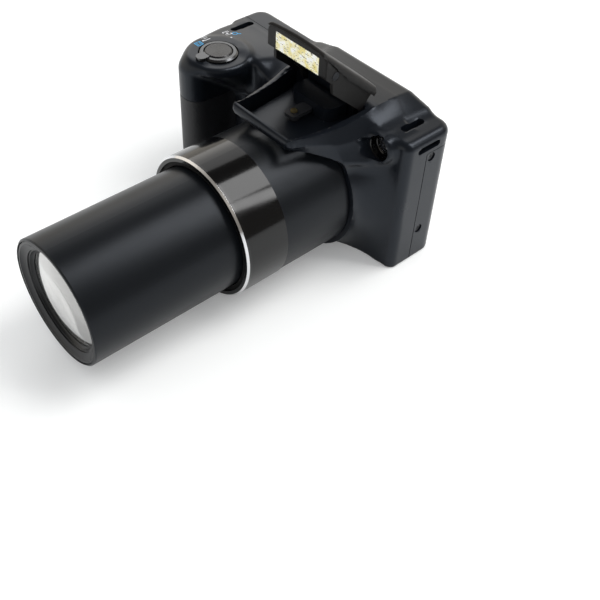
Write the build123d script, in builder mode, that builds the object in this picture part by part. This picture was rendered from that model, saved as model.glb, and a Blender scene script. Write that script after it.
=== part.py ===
from build123d import *
import os
from math import cos, radians, sin, tan

# Bridge camera with the lens run out and the flash raised, as it stands ready to shoot.
# Millimetres. X runs to the right seen from the front, with the grip at -X. The lens looks along -Y.
# Z is up. The origin is on the base plane, halfway across the body.

os.makedirs("parts", exist_ok=True)

# Body
body_width = 104.4
half_width = body_width / 2
body_height = 57.0
back_y = 15.0
front_right_y = -8.6
front_left_y = -16.3
grip_root_x = 22.4 - half_width
back_corner_radius = 5.6
front_corner_radius = 3.4
top_edge_radius = 3.0
base_edge_radius = 1.0
wall = 1.8
base_wall = 1.7
seam_gap = 0.14
fit_gap = 0.25
overrun = 2.0
skin_thickness = 0.9
shell_seam_y = 1.7
plate_seam_x = 44.2 - half_width
plate_seam_y = 4.4
skin_top_z = body_height - 14.6

# Grip
grip_shoulder_y = -8.5
grip_bulge_x = 3.3 - half_width
grip_bulge_y = -26.5
grip_tip_x = 11.5 - half_width
grip_tip_y = -37.4
grip_inner_x = 21.6 - half_width
grip_merge_x = 37.2 - half_width
grip_shoulder_radius = 28.0
grip_bulge_radius = 16.0
grip_tip_radius = 7.5
grip_inner_radius = 6.0
grip_root_radius = 7.0
grip_sink = 0.5
block_left_front_y = -2.0
grip_top_radius = 5.6
grip_skin_back_y = -10.5

# Lens, measured forward of the origin along its axis
lens_x = half_width - 40.2
lens_z = body_height - 29.8
groove_d = 20.5
groove_width = 0.4
satin_seam_d = 50.2
ring_back_d = 66.4
ring_front_d = 68.1
barrel_front_d = 126.0
fixed_radius = 26.6
sleeve_radius = 26.9
sleeve_wall = 0.8
bayonet_radius = 25.2
cam_gap = 0.3
cam_wall = 0.7
moving_radius = 23.0
moving_wall = 0.8
moving_length = 64.0
cam_back_d = 3.0
cam_front_d = 64.0
seal_back_d = 64.9
seal_front_d = 67.5
seal_gap = 0.35
ring_bevel = 0.7
collar_root_radius = 37.0
collar_lip_radius = 28.5
collar_sag = 2.2
collar_root_d = 8.0
collar_top_z = body_height - 1.4
barrel_clearance = 0.45

# Front lens group, measured back from the barrel's front face
bezel_rim_radius = 21.3
bezel_glass_radius = 16.6
bezel_depth = 7.0
bezel_steps = 4
glass_radius = 17.6
glass_edge = 3.2
glass_crown = 2.4
cell_depth = 16.0
cell_wall_radius = 22.1
second_glass_radius = 15.6
second_glass_thickness = 3.4
second_glass_inset = 1.0
cell_bore_radius = second_glass_radius + 0.02

# Inner lens groups
rod_radius = 1.2
rod_orbit = 18.5
rod_fit = 0.08
rod_angles = (45, 225)
rod_front_d = 51.0
carriage_radius = 21.6
zoom_carriage_d = 44.0
zoom_carriage_depth = 6.0
zoom_glass_radius = 9.0
iris_radius = 14.0
iris_depth = 2.4
iris_hole_radius = 5.5
iris_blades = 6
focus_carriage_d = 12.0
focus_carriage_depth = 5.0
focus_glass_radius = 8.0
glass_seat = 0.02
glass_inset = 0.4
bezel_lip = 1.0
bezel_cone_share = 0.35
barrel_bevel = 0.5
carriage_web = 2.0
lens_base_front_d = 1.0
lens_base_thickness = 2.0
sensor_width = 11.5
sensor_height = 9.5
sensor_thickness = 1.6
sensor_plate_width = 24.0
sensor_plate_height = 20.0
sensor_plate_thickness = 1.6
lead_radius = 1.0
lead_nut_radius = 1.3
lead_angle = 135
lead_front_d = 24.0
focus_motor_radius = 3.0
focus_motor_length = 6.4
zoom_motor_x = 33.2 - half_width
zoom_motor_z = 38.5
zoom_motor_radius = 5.0
zoom_motor_front_y = -11.0
gearbox_width = 11.0
gearbox_height = 16.0
gearbox_front_y = 1.5
gearbox_back_y = 7.0
cam_slot_width = 2.4
cam_slot_length = 50.0
cam_slot_tilt = 24.0
cam_slot_count = 3
carriage_hub_wall = 1.4
rod_boss_radius = 2.6

# Hump and flash well
hump_front_y = -41.6
hump_rail_y = -20.5
hump_step_y = -7.0
lip_thickness = 2.0
lip_top_z = body_height + 3.5
roof_z = body_height + 6.0
roof_fall_share = 0.985
rail_rounding = 0.8
shoulder_rounding = 1.2
well_floor_z = body_height - 2.1
well_channel_z = body_height - 4.8
well_channel_width = 2.6
well_front_half = 13.9
well_back_half = 17.6
well_back_y = -7.8
housing_floor_z = body_height - 6.0
housing_back_y = 1.6
# Each section of the hump: place along Y, half widths at foot, shoulder and top, heights of foot, shoulder and top
hump_sections = (
    (hump_front_y, 13.2, 15.2, 14.6, lip_top_z - 4.3, lip_top_z - 2.3, lip_top_z),
    (hump_rail_y, 23.0, 20.6, 17.8, body_height - 11.0, body_height - 2.5, lip_top_z + 1.3),
    (hump_step_y, 28.0, 24.2, 19.6, body_height - 11.0, body_height - 0.4, roof_z),
    (back_y, 30.0, 26.0, 18.4, body_height - 11.0, body_height - 1.4, body_height * roof_fall_share),
)

# Valley between the hump and the shutter dais
valley_radius = 9.0
valley_x = 39.6 - half_width
valley_front_z = body_height + 1.2
valley_rise = 9.2
valley_length = 34.0

# Flash head, drawn in the plane of its cover, through the hinge axis
hinge_y = -2.4
hinge_z = body_height
cover_tilt = 40.5
flash_travel = 45.0
cover_front = 36.6
cover_back = 4.6
cover_height = 8.4
cover_thickness = 1.3
cover_front_half = 14.5
cover_back_half = 18.3
cover_back_bow = 1.7
cover_corner_radius = 1.6
cover_edge_radius = 0.7
cover_gap = 0.35
case_inset = 0.9
case_wall = 1.3
case_front = 36.2
case_back = 10.5
case_bottom = -2.2
case_box_depth = 9.5
case_box_floor = 0.6
case_wall_drop_y = -24.0
# Side view of each hinge arm: places along the head, with the height of its lower or upper edge there
arm_front_y = -13.5
arm_back_y = -9.0
arm_lower = ((-9.8, -0.95), (-7.0, -3.0), (-1.6, -1.6))
arm_upper = ((-1.4, 1.4), (-5.0, -0.3), (-6.5, -0.9), (-9.0, -0.9))
arm_web_floor = -0.6
arm_notch_front_y = -12.0
arm_notch_floor_z = body_height - 3.9
notch_top_z = body_height + 4.0
ear_radius = 2.0
ear_half = 13.2
ear_thickness = 1.6
ear_gap = 0.35
pin_radius = 1.0
pin_fit = 0.06
pin_length = 5.0
window_width = 24.0
window_height = 6.8
window_margin = 0.7
window_run = 1.6
window_proud = 0.12
# Side view of the reflector's back, along the head and out of it
reflector_back = ((-28.4, 6.2), (-28.1, 1.5))
reflector_trough = ((-29.5, 5.6), (-28.8, 4.6), (-28.7, 3.0), (-29.2, 2.1))
cavity_back = ((-28.2, 6.4), (-27.9, 1.3))
reflector_wall = 0.5
flash_tube_place = (-30.6, 4.0)
flash_tube_radius = 0.7
flash_tube_length = 23.0
case_screw_radius = 1.5
case_screw_height = 0.75
case_screw_sink = 0.6
case_screw_shank = 0.7
case_screw_shank_length = 1.2
case_screw_y = -27.4
case_screw_z = 3.4
block_half = 10.2
block_back_y = -9.5
block_front_y = -18.4
block_top_z = body_height + 3.0
block_corner_radius = 3.6
bracket_width = 5.4
bracket_front_y = -28.0
bracket_thickness = 1.2
bracket_lift = 1.4
bracket_screw_y = -25.2
bracket_screw_radius = 1.3
bracket_screw_height = 0.7
bracket_corner_radius = 1.4
bracket_boss_radius = 2.0

# Dais, zoom lever, shutter button and power button
shutter_x = 18.4 - half_width
shutter_y = -22.6
dais_radius = 12.2
dais_top_z = body_height + 0.9
dais_foot_z = body_height - 2.0
chin_foot_z = skin_top_z + seam_gap
chin_foot_x = 22.7 - half_width
chin_foot_y = -12.0
chin_foot_radius = 4.5
dais_edge_radius = 1.2
lever_radius = 7.4
lever_inner_radius = 5.65
lever_sleeve_radius = 6.3
lever_bottom_z = body_height - 0.1
lever_top_z = body_height + 2.0
lever_foot_z = body_height - 3.6
lever_foot_gap = 1.0
lever_tab_width = 4.2
lever_tab_length = 5.4
lever_edge_cut = 0.6
lever_tab_lift = 0.7
shutter_radius = 5.35
shutter_top_z = body_height + 2.3
shutter_crown = 0.5
shutter_foot_z = body_height - 3.2
shutter_stem_z = body_height - 7.0
shutter_stem_radius = 1.5
power_x = 32.4 - half_width
power_y = -1.2
power_radius = 3.5
power_top_z = body_height + 0.8
power_crown = 0.35
button_gap = 0.15
button_flange = 0.8
button_flange_thickness = 0.7

# Strap eyelets
slot_length = 11.0
slot_width = 2.8
slot_right_x = half_width - 8.8
slot_left_x = 7.5 - half_width
slot_right_y = 2.2
slot_left_y = -2.1
slot_side_z = body_height - 4.2
slot_side_height = 2.4
lug_depth = 8.4
lug_inset = 13.0
lug_length = 17.0

# Autofocus lamp
lamp_x = half_width - 14.1
lamp_z = body_height - 7.6
lamp_boss_radius = 6.0
lamp_boss_front_y = -12.4
lamp_mouth_radius = 5.0
lamp_radius = 3.8
lamp_recess = 1.6
lamp_thickness = 2.4
lamp_crown = 0.6

# Rear: screen and controls
screen_x = half_width - 35.6
screen_z = 26.6
screen_width = 61.0
screen_height = 44.0
screen_radius = 1.6
window_sheet = 1.2
window_stand = 0.35
screen_bezel = 2.2
back_seam_z = screen_z + screen_height / 2 + 1.4
panel_gap = 0.3
panel_thickness = 2.8
window_edge_cut = 0.3
pad_x = 19.2 - half_width
pad_z = 22.5
pad_radius = 9.4
pad_inner_radius = 4.7
pad_proud = 1.1
pad_edge_cut = 0.8
set_radius = 4.4
set_proud = 0.9
rear_button_radius = 2.8
rear_button_proud = 0.6
movie_button_x = 29.8 - half_width
movie_button_z = body_height - 13.0
play_button_x = 31.6 - half_width
play_button_z = 33.6
menu_button_x = 11.2 - half_width
menu_button_z = 9.0
auto_button_x = 7.6 - half_width
auto_button_z = 31.6
rear_flange = 0.7
button_board_y = 10.2
button_board_thickness = 0.8
button_board_left_x = 5.2 - half_width
button_board_right_x = 36.7 - half_width
button_board_bottom_z = 5.5
button_board_top_z = body_height - 8.0
thumb_x = 10.4 - half_width
thumb_z = body_height - 12.4
thumb_width = 14.0
thumb_height = 17.0
thumb_proud = 2.0
thumb_radius = 4.0
thumb_top_share = 0.62

# Battery bay, door and card
battery_x = 11.4 - half_width
battery_thickness = 5.2
battery_back_y = 9.0
battery_depth = 33.6
battery_height = 40.0
battery_bottom_z = 1.9
bay_floor_z = 2.3
bay_wall = 0.8
bay_gap = 0.3
card_x = 17.3 - half_width
card_thickness = 2.1
card_depth = 24.0
card_height = 32.0
card_notch = 3.6
battery_edge_radius = 1.0
door_left_x = 7.0 - half_width
door_hinge_x = 19.8 - half_width
door_front_y = -26.0
door_back_y = 10.2
door_thickness = 1.5
door_corner_radius = 1.5
door_barrel_radius = 0.75
door_pin_radius = 0.4
door_pin_seat = 1.0
latch_width = 3.6
latch_length = 9.0
latch_depth = 0.7
latch_travel = 2.0
latch_margin = 1.6
latch_y = -5.0
latch_grooves = 3
latch_groove_width = 0.4
latch_groove_depth = 0.25
latch_groove_inset = 1.0

# Tripod bush, chassis and screws
bush_x = 30.6 - half_width
bush_y = -1.0
bush_radius = 4.6
bush_flange_radius = 6.0
bush_flange_thickness = 1.0
bush_height = 7.0
bush_bore_radius = 2.55
bush_bore_length = 5.6
chassis_sheet = 0.8
chassis_left_x = 21.4 - half_width
chassis_right_x = 37.6 - half_width
chassis_front_y = -11.5
chassis_back_y = 7.4
chassis_height = body_height - 13.0
screw_head_radius = 1.5
screw_head_height = 0.9
screw_shank_radius = 0.8
screw_shank_length = 3.0
screw_recess = 0.5
side_screw_y = 4.3
side_screw_heights = (14.2, 47.8)
base_screw_places = (
    (half_width - 5.2, -5.5),
    (half_width - 7.2, 10.5),
    (27.7 - half_width, -13.2),
    (27.7 - half_width, 11.5),
)

# Electronics
board_front_y = 8.2
board_thickness = 1.0
board_left_x = 24.2 - half_width
board_right_x = half_width - 5.2
board_bottom_z = 4.0
board_top_z = body_height - 9.0
chip_height = 0.8
# Each chip: place along X, height, and size across
chip_places = (
    (lens_x - 2.0, 22.0, 13.0),
    (lens_x + 18.0, 34.0, 10.0),
    (lens_x - 22.0, 14.0, 9.0),
    (lens_x - 30.0, 36.0, 7.0),
)
capacitor_x = half_width - 9.3
capacitor_y = 3.8
capacitor_radius = 4.1
capacitor_bottom_z = 8.0
capacitor_height = 32.0
speaker_x = half_width - 10.2
speaker_radius = 4.6
speaker_height = 2.6
speaker_y = -1.5
speaker_hole_radius = 0.5
speaker_hole_orbit = 2.4
speaker_hole_count = 6

# Terminal cover and socket
terminal_back_y = -0.6
terminal_front_y = -9.6
terminal_bottom_z = 18.0
terminal_top_z = 37.0
terminal_thickness = 1.2
terminal_radius = 1.4
terminal_barrel_radius = 0.6
terminal_stub_radius = 0.35
terminal_stub_length = 0.8
socket_z = 27.5
socket_y = -5.0
socket_width = 3.2
socket_height = 8.4
socket_depth = 5.2
socket_wall = 0.6


def face_plane(distance):
    """The plane across the lens axis, a distance forward of the origin, looking forward."""
    return Plane(origin=(lens_x, -distance, lens_z), x_dir=(1, 0, 0), z_dir=(0, -1, 0))


def back_plane(y):
    """The plane of a rear face, with X and Z as its axes' lines and its normal to the rear."""
    return Plane(origin=(0, y, 0), x_dir=(-1, 0, 0), z_dir=(0, 1, 0))


# Profiles of turned lens parts are drawn in this plane: forward distance, then radius.
lens_profile = Plane(origin=(lens_x, 0, lens_z), x_dir=(0, -1, 0), z_dir=(-1, 0, 0))
lens_axis = Axis(origin=(lens_x, 0, lens_z), direction=(0, -1, 0))

# The flash head's own plane: X across, Y to the rear along the cover, Z out of the cover.
head_plane = Plane(
    origin=(lens_x, hinge_y, hinge_z),
    x_dir=(1, 0, 0),
    z_dir=(0, sin(radians(cover_tilt)), cos(radians(cover_tilt))),
)
# The same plane with the head folded down.
folded_plane = Plane(
    origin=(lens_x, hinge_y, hinge_z),
    x_dir=(1, 0, 0),
    z_dir=(0, sin(radians(cover_tilt - flash_travel)), cos(radians(cover_tilt - flash_travel))),
)


def block(x, y, z, mode=Mode.ADD):
    """A box between two values on each axis, in the active part."""
    with Locations(((x[0] + x[1]) / 2, (y[0] + y[1]) / 2, (z[0] + z[1]) / 2)):
        Box(x[1] - x[0], y[1] - y[0], z[1] - z[0], mode=mode)


def turned(points, mode=Mode.ADD):
    """A solid of revolution about the lens axis, from (forward distance, radius) points."""
    with BuildSketch(lens_profile) as profile:
        with BuildLine():
            Polyline(*points, close=True)
        make_face()
    revolve(profile.sketch, axis=lens_axis, mode=mode)


def post(plane, place, radius, length, mode=Mode.ADD):
    """A round post on a plane, grown along its normal."""
    with BuildSketch(plane) as disc:
        with Locations(place):
            Circle(radius)
    extrude(disc.sketch, amount=length, mode=mode)


def on_orbit(orbit, angle):
    """A place on a circle about the lens axis, in a face plane."""
    return (orbit * cos(radians(angle)), orbit * sin(radians(angle)))


# Outer form of the body

block_outline = (
    (half_width, back_y),
    (-half_width, back_y),
    (-half_width, block_left_front_y),
    (grip_root_x, front_left_y),
    (half_width, front_right_y),
)
block_radii = [
    back_corner_radius,
    back_corner_radius,
    front_corner_radius,
    front_corner_radius,
    front_corner_radius,
]
front_slope_share = (grip_merge_x - grip_root_x) / (half_width - grip_root_x)
grip_merge_y = front_left_y + (front_right_y - front_left_y) * front_slope_share + grip_sink
grip_outline = (
    (-half_width + grip_sink, grip_shoulder_y + grip_shoulder_radius / 2),
    (-half_width, grip_shoulder_y),
    (grip_bulge_x, grip_bulge_y),
    (grip_tip_x, grip_tip_y),
    (grip_inner_x, grip_tip_y),
    (grip_root_x, front_left_y),
    (grip_merge_x, grip_merge_y),
    (grip_merge_x, grip_shoulder_y + grip_shoulder_radius / 2),
)
grip_radii = [
    0,
    grip_shoulder_radius,
    grip_bulge_radius,
    grip_tip_radius,
    grip_inner_radius,
    grip_root_radius,
    0,
    0,
]

with BuildPart() as block_form:
    with BuildSketch():
        with BuildLine():
            FilletPolyline(*block_outline, radius=block_radii, close=True)
        make_face()
    extrude(amount=body_height)
    fillet(block_form.faces().sort_by(Axis.Z)[-1].edges(), top_edge_radius)
    fillet(block_form.faces().sort_by(Axis.Z)[0].edges(), base_edge_radius)

with BuildPart() as grip_form:
    with BuildSketch():
        with BuildLine():
            FilletPolyline(*grip_outline, radius=grip_radii, close=True)
        make_face()
    extrude(amount=body_height)
    grip_top = grip_form.faces().sort_by(Axis.Z)[-1].edges()
    grip_base = grip_form.faces().sort_by(Axis.Z)[0].edges()
    fillet(grip_top.sort_by(Axis.Y)[:-2], grip_top_radius)
    fillet(grip_base.sort_by(Axis.Y)[:-2], base_edge_radius)

with BuildPart() as hump_form:
    for y, foot, shoulder, top, foot_z, shoulder_z, top_z in hump_sections:
        with BuildSketch(Plane.XZ.offset(-y)):
            with BuildLine():
                FilletPolyline(
                    (lens_x - foot, foot_z),
                    (lens_x - shoulder, shoulder_z),
                    (lens_x - top, top_z),
                    (lens_x + top, top_z),
                    (lens_x + shoulder, shoulder_z),
                    (lens_x + foot, foot_z),
                    radius=(0, shoulder_rounding, rail_rounding, rail_rounding, shoulder_rounding, 0),
                    close=True,
                )
            make_face()
    loft(ruled=True)

with BuildPart() as collar_form:
    with BuildSketch(lens_profile):
        with BuildLine():
            rise = ThreePointArc(
                (collar_root_d, collar_root_radius),
                (
                    (collar_root_d + groove_d) / 2 - collar_sag / 2,
                    (collar_root_radius + collar_lip_radius) / 2 - collar_sag,
                ),
                (groove_d, collar_lip_radius),
            )
            Polyline(rise @ 1, (groove_d, 0), (collar_root_d, 0), rise @ 0)
        make_face()
    revolve(axis=lens_axis)
    block(
        (-half_width, half_width),
        (-groove_d - overrun, back_y),
        (-collar_root_radius, 0),
        mode=Mode.SUBTRACT,
    )
    block(
        (-half_width, half_width),
        (-groove_d - overrun, back_y),
        (collar_top_z, body_height * 2),
        mode=Mode.SUBTRACT,
    )

with BuildPart() as dais_form:
    with BuildSketch(Plane.XY.offset(chin_foot_z)):
        with Locations((chin_foot_x, chin_foot_y)):
            Circle(chin_foot_radius)
    with BuildSketch(Plane.XY.offset(dais_foot_z)):
        with Locations((shutter_x, shutter_y)):
            Circle(dais_radius)
    loft()
    post(Plane.XY.offset(dais_foot_z), (shutter_x, shutter_y), dais_radius, dais_top_z - dais_foot_z)
    fillet(dais_form.faces().sort_by(Axis.Z)[-1].edges(), dais_edge_radius)

with BuildPart() as outer_form:
    add(block_form.part)
    add(grip_form.part)
    add(hump_form.part)
    add(collar_form.part)
    add(dais_form.part)
    post(
        face_plane(-front_right_y),
        (lamp_x - lens_x, lamp_z - lens_z),
        lamp_boss_radius,
        front_right_y - lamp_boss_front_y,
    )
    valley_tilt = (0, -valley_length, -valley_rise)
    valley_plane = Plane(
        origin=(valley_x, 0, valley_front_z + valley_rise),
        x_dir=(1, 0, 0),
        z_dir=valley_tilt,
    )
    with BuildSketch(valley_plane):
        Circle(valley_radius)
    extrude(amount=valley_length * 2, mode=Mode.SUBTRACT)
    with BuildSketch(face_plane(groove_d)):
        Circle(fixed_radius + barrel_clearance)
    extrude(amount=barrel_front_d, mode=Mode.SUBTRACT)
    block(
        (-half_width, half_width + overrun),
        (back_y, back_y + overrun),
        (0, body_height + overrun),
        mode=Mode.SUBTRACT,
    )

# Room inside the body

with BuildPart() as inner_form:
    with BuildSketch(Plane.XY.offset(base_wall)):
        with BuildLine():
            FilletPolyline(*block_outline, radius=block_radii, close=True)
        make_face()
        offset(amount=-wall)
    extrude(amount=body_height - wall - base_wall)
    with BuildSketch(Plane.XY.offset(base_wall)):
        with BuildLine():
            FilletPolyline(*grip_outline, radius=grip_radii, close=True)
        make_face()
        offset(amount=-wall)
    extrude(amount=body_height - grip_top_radius - base_wall)

with BuildPart() as skin_form:
    with BuildSketch(Plane.XY.offset(base_wall)):
        with BuildLine():
            FilletPolyline(*grip_outline, radius=grip_radii, close=True)
        make_face()
    extrude(amount=skin_top_z - base_wall)
    with BuildSketch(Plane.XY.offset(base_wall)):
        with BuildLine():
            FilletPolyline(*grip_outline, radius=grip_radii, close=True)
        make_face()
        offset(amount=-skin_thickness)
    extrude(amount=skin_top_z - base_wall, mode=Mode.SUBTRACT)
    block(
        (-half_width - overrun, grip_root_x + skin_thickness),
        (grip_tip_y - overrun, grip_skin_back_y),
        (0, skin_top_z),
        mode=Mode.INTERSECT,
    )


def cover_outline(plane, gap):
    """The flash cover seen from above, on a plane of the head, grown by a gap."""
    with BuildSketch(plane) as outline:
        with BuildLine():
            front = Line(
                (-cover_front_half - gap, -cover_front - gap),
                (cover_front_half + gap, -cover_front - gap),
            )
            right = Line(front @ 1, (cover_back_half + gap, -cover_back - cover_back_bow + gap))
            back = ThreePointArc(
                right @ 1,
                (0, -cover_back + gap),
                (-cover_back_half - gap, -cover_back - cover_back_bow + gap),
            )
            Line(back @ 1, front @ 0)
        make_face()
    return outline.sketch


def case_half(y):
    """Half the width of the flash case at a place along the head."""
    share = (cover_front + y) / (cover_front - cover_back)
    return cover_front_half + (cover_back_half - cover_front_half) * share - case_inset


# The well that the folded flash lies in, with side channels for the case's walls.
with BuildPart() as well_form:
    with BuildSketch(Plane.XY.offset(well_floor_z)):
        with BuildLine():
            Polyline(
                (lens_x - well_front_half, hump_front_y + lip_thickness),
                (lens_x + well_front_half, hump_front_y + lip_thickness),
                (lens_x + well_back_half, well_back_y),
                (lens_x - well_back_half, well_back_y),
                close=True,
            )
        make_face()
    extrude(amount=body_height)
    for side in (-1, 1):
        with BuildSketch(Plane.XY.offset(well_channel_z)):
            with BuildLine():
                Polyline(
                    (lens_x + side * well_front_half, hump_front_y + lip_thickness),
                    (lens_x + side * well_back_half, well_back_y),
                    (lens_x + side * (well_back_half - well_channel_width), well_back_y),
                    (lens_x + side * (well_front_half - well_channel_width), hump_front_y + lip_thickness),
                    close=True,
                )
            make_face()
        extrude(amount=body_height)
        notch_middle = lens_x + side * ear_half
        block(
            (notch_middle - ear_thickness / 2 - ear_gap, notch_middle + ear_thickness / 2 + ear_gap),
            (arm_notch_front_y, hinge_y + ear_radius + ear_gap),
            (arm_notch_floor_z, notch_top_z),
        )
    recess_plane = folded_plane.offset(cover_height - cover_thickness - cover_gap)
    extrude(cover_outline(recess_plane, cover_gap), amount=body_height)

lens_hole_radius = bayonet_radius + fit_gap
pin_start_half = ear_half - ear_thickness / 2 - ear_gap + pin_fit
middle_x = (-half_width - overrun, half_width + overrun)
half_seam = seam_gap / 2
terminal_axis = (-half_width + terminal_barrel_radius, terminal_back_y - terminal_barrel_radius)
rear_button_places = {
    "movie_button": (movie_button_x, movie_button_z),
    "play_button": (play_button_x, play_button_z),
    "menu_button": (menu_button_x, menu_button_z),
    "auto_button": (auto_button_x, auto_button_z),
}


def eyelet(x, y, side):
    """The two joined slots that a strap is threaded through, at a top corner of the body."""
    with BuildSketch(Plane.XY.offset(slot_side_z - slot_side_height / 2)) as top_slot:
        with Locations((x, y)):
            SlotOverall(slot_length, slot_width, rotation=90)
    extrude(top_slot.sketch, amount=body_height, mode=Mode.SUBTRACT)
    with BuildSketch(Plane.YZ.offset(x)) as side_slot:
        with Locations((y, slot_side_z)):
            SlotOverall(slot_length, slot_side_height)
    extrude(side_slot.sketch, amount=side * (half_width - abs(x) + overrun), mode=Mode.SUBTRACT)


def lug(x, y):
    """Solid plastic left round a strap eyelet."""
    side = 1 if x > 0 else -1
    block(
        sorted((side * (half_width - lug_inset), side * (half_width + overrun))),
        (y - lug_length / 2, y + lug_length / 2),
        (body_height - lug_depth, body_height + overrun),
        mode=Mode.INTERSECT,
    )


with BuildPart() as right_lug:
    add(outer_form.part)
    lug(slot_right_x, slot_right_y)

with BuildPart() as left_lug:
    add(outer_form.part)
    lug(slot_left_x, slot_left_y)

with BuildPart() as hollow_form:
    add(inner_form.part)
    with BuildSketch(valley_plane):
        Circle(valley_radius + wall)
    extrude(amount=valley_length * 2, mode=Mode.SUBTRACT)
    add(right_lug.part, mode=Mode.SUBTRACT)
    add(left_lug.part, mode=Mode.SUBTRACT)
    block(
        (lens_x - well_back_half - wall, lens_x + well_back_half + wall),
        (grip_tip_y - overrun, housing_back_y),
        (housing_floor_z, body_height * 2),
        mode=Mode.SUBTRACT,
    )

# Door opening in the base, shared by both shells.
with BuildPart() as door_opening:
    with BuildSketch(Plane.XY.offset(-overrun)):
        with BuildLine():
            FilletPolyline(
                (door_left_x - fit_gap, door_front_y - fit_gap),
                (door_hinge_x + door_barrel_radius + fit_gap, door_front_y - fit_gap),
                (door_hinge_x + door_barrel_radius + fit_gap, door_back_y + fit_gap),
                (door_left_x - fit_gap, door_back_y + fit_gap),
                radius=(door_corner_radius, 0, 0, door_corner_radius),
                close=True,
            )
        make_face()
    extrude(amount=base_wall + overrun * 2)
    with BuildSketch(Plane.XZ.offset(-door_back_y - door_pin_seat)):
        with Locations((door_hinge_x, door_barrel_radius)):
            Circle(door_pin_radius + pin_fit)
    extrude(amount=door_back_y - door_front_y + door_pin_seat * 2)


def screw_holes():
    """Counterbored holes for the case screws in the side and the base."""
    for z in side_screw_heights:
        side = Plane(origin=(half_width, side_screw_y, z), x_dir=(0, 1, 0), z_dir=(1, 0, 0))
        for radius, depth in (
            (screw_head_radius + fit_gap, screw_recess + screw_head_height),
            (screw_shank_radius + pin_fit, screw_head_height + screw_recess + screw_shank_length),
        ):
            post(side, (0, 0), radius, -depth, mode=Mode.SUBTRACT)
    for place in base_screw_places:
        for radius, depth in (
            (screw_head_radius + fit_gap, screw_recess + screw_head_height),
            (screw_shank_radius + pin_fit, screw_head_height + screw_recess + screw_shank_length),
        ):
            post(Plane.XY, place, radius, depth, mode=Mode.SUBTRACT)


with BuildPart() as front_shell:
    add(outer_form.part)
    block(
        middle_x,
        (shell_seam_y - half_seam, back_y + overrun),
        (-overrun, back_seam_z + half_seam),
        mode=Mode.SUBTRACT,
    )
    block(
        (-half_width - overrun, plate_seam_x + half_seam),
        (grip_tip_y - overrun, back_y + overrun),
        (skin_top_z, body_height + overrun * 3),
        mode=Mode.SUBTRACT,
    )
    add(hollow_form.part, mode=Mode.SUBTRACT)
    add(well_form.part, mode=Mode.SUBTRACT)
    add(skin_form.part, mode=Mode.SUBTRACT)
    add(door_opening.part, mode=Mode.SUBTRACT)
    post(
        face_plane(-shell_seam_y),
        (0, 0),
        lens_hole_radius,
        groove_d + overrun + shell_seam_y,
        mode=Mode.SUBTRACT,
    )
    lamp_place = (lamp_x - lens_x, lamp_z - lens_z)
    post(
        face_plane(-front_right_y - wall - overrun),
        lamp_place,
        lamp_radius + button_gap,
        lamp_boss_radius + overrun,
        mode=Mode.SUBTRACT,
    )
    with BuildSketch(face_plane(-lamp_boss_front_y)):
        with Locations(lamp_place):
            Circle(lamp_mouth_radius)
    with BuildSketch(face_plane(-lamp_boss_front_y - lamp_recess)):
        with Locations(lamp_place):
            Circle(lamp_radius + button_gap)
    loft(mode=Mode.SUBTRACT)
    post(Plane.XY, (bush_x, bush_y), bush_radius + button_gap, base_wall + overrun, mode=Mode.SUBTRACT)
    for step in range(speaker_hole_count):
        angle = radians(360 * step / speaker_hole_count)
        hole = (
            speaker_x + speaker_hole_orbit * cos(angle),
            speaker_y + speaker_hole_orbit * sin(angle),
        )
        post(Plane.XY, hole, speaker_hole_radius, base_wall + overrun, mode=Mode.SUBTRACT)
    block(
        (-half_width - overrun, -half_width + wall + overrun),
        (terminal_front_y - fit_gap, terminal_back_y + fit_gap),
        (terminal_bottom_z - fit_gap, terminal_top_z + fit_gap),
        mode=Mode.SUBTRACT,
    )
    post(
        Plane.XY.offset(terminal_bottom_z - terminal_stub_length - fit_gap),
        terminal_axis,
        terminal_stub_radius + pin_fit,
        terminal_top_z - terminal_bottom_z + (terminal_stub_length + fit_gap) * 2,
        mode=Mode.SUBTRACT,
    )
    eyelet(slot_right_x, slot_right_y, 1)
    screw_holes()
    for side in (-1, 1):
        pin_start = Plane.YZ.offset(lens_x + side * pin_start_half)
        post(pin_start, (hinge_y, hinge_z), pin_radius + pin_fit, side * pin_length, mode=Mode.SUBTRACT)
front_shell.part.label = "front_shell"
export_step(front_shell.part, "parts/front_shell.step")

with BuildPart() as rear_strip:
    add(outer_form.part)
    block(
        (-half_width - overrun, plate_seam_x - half_seam),
        (plate_seam_y + half_seam, back_y + overrun),
        (back_seam_z - half_seam * 2, body_height + overrun),
        mode=Mode.INTERSECT,
    )

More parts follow.
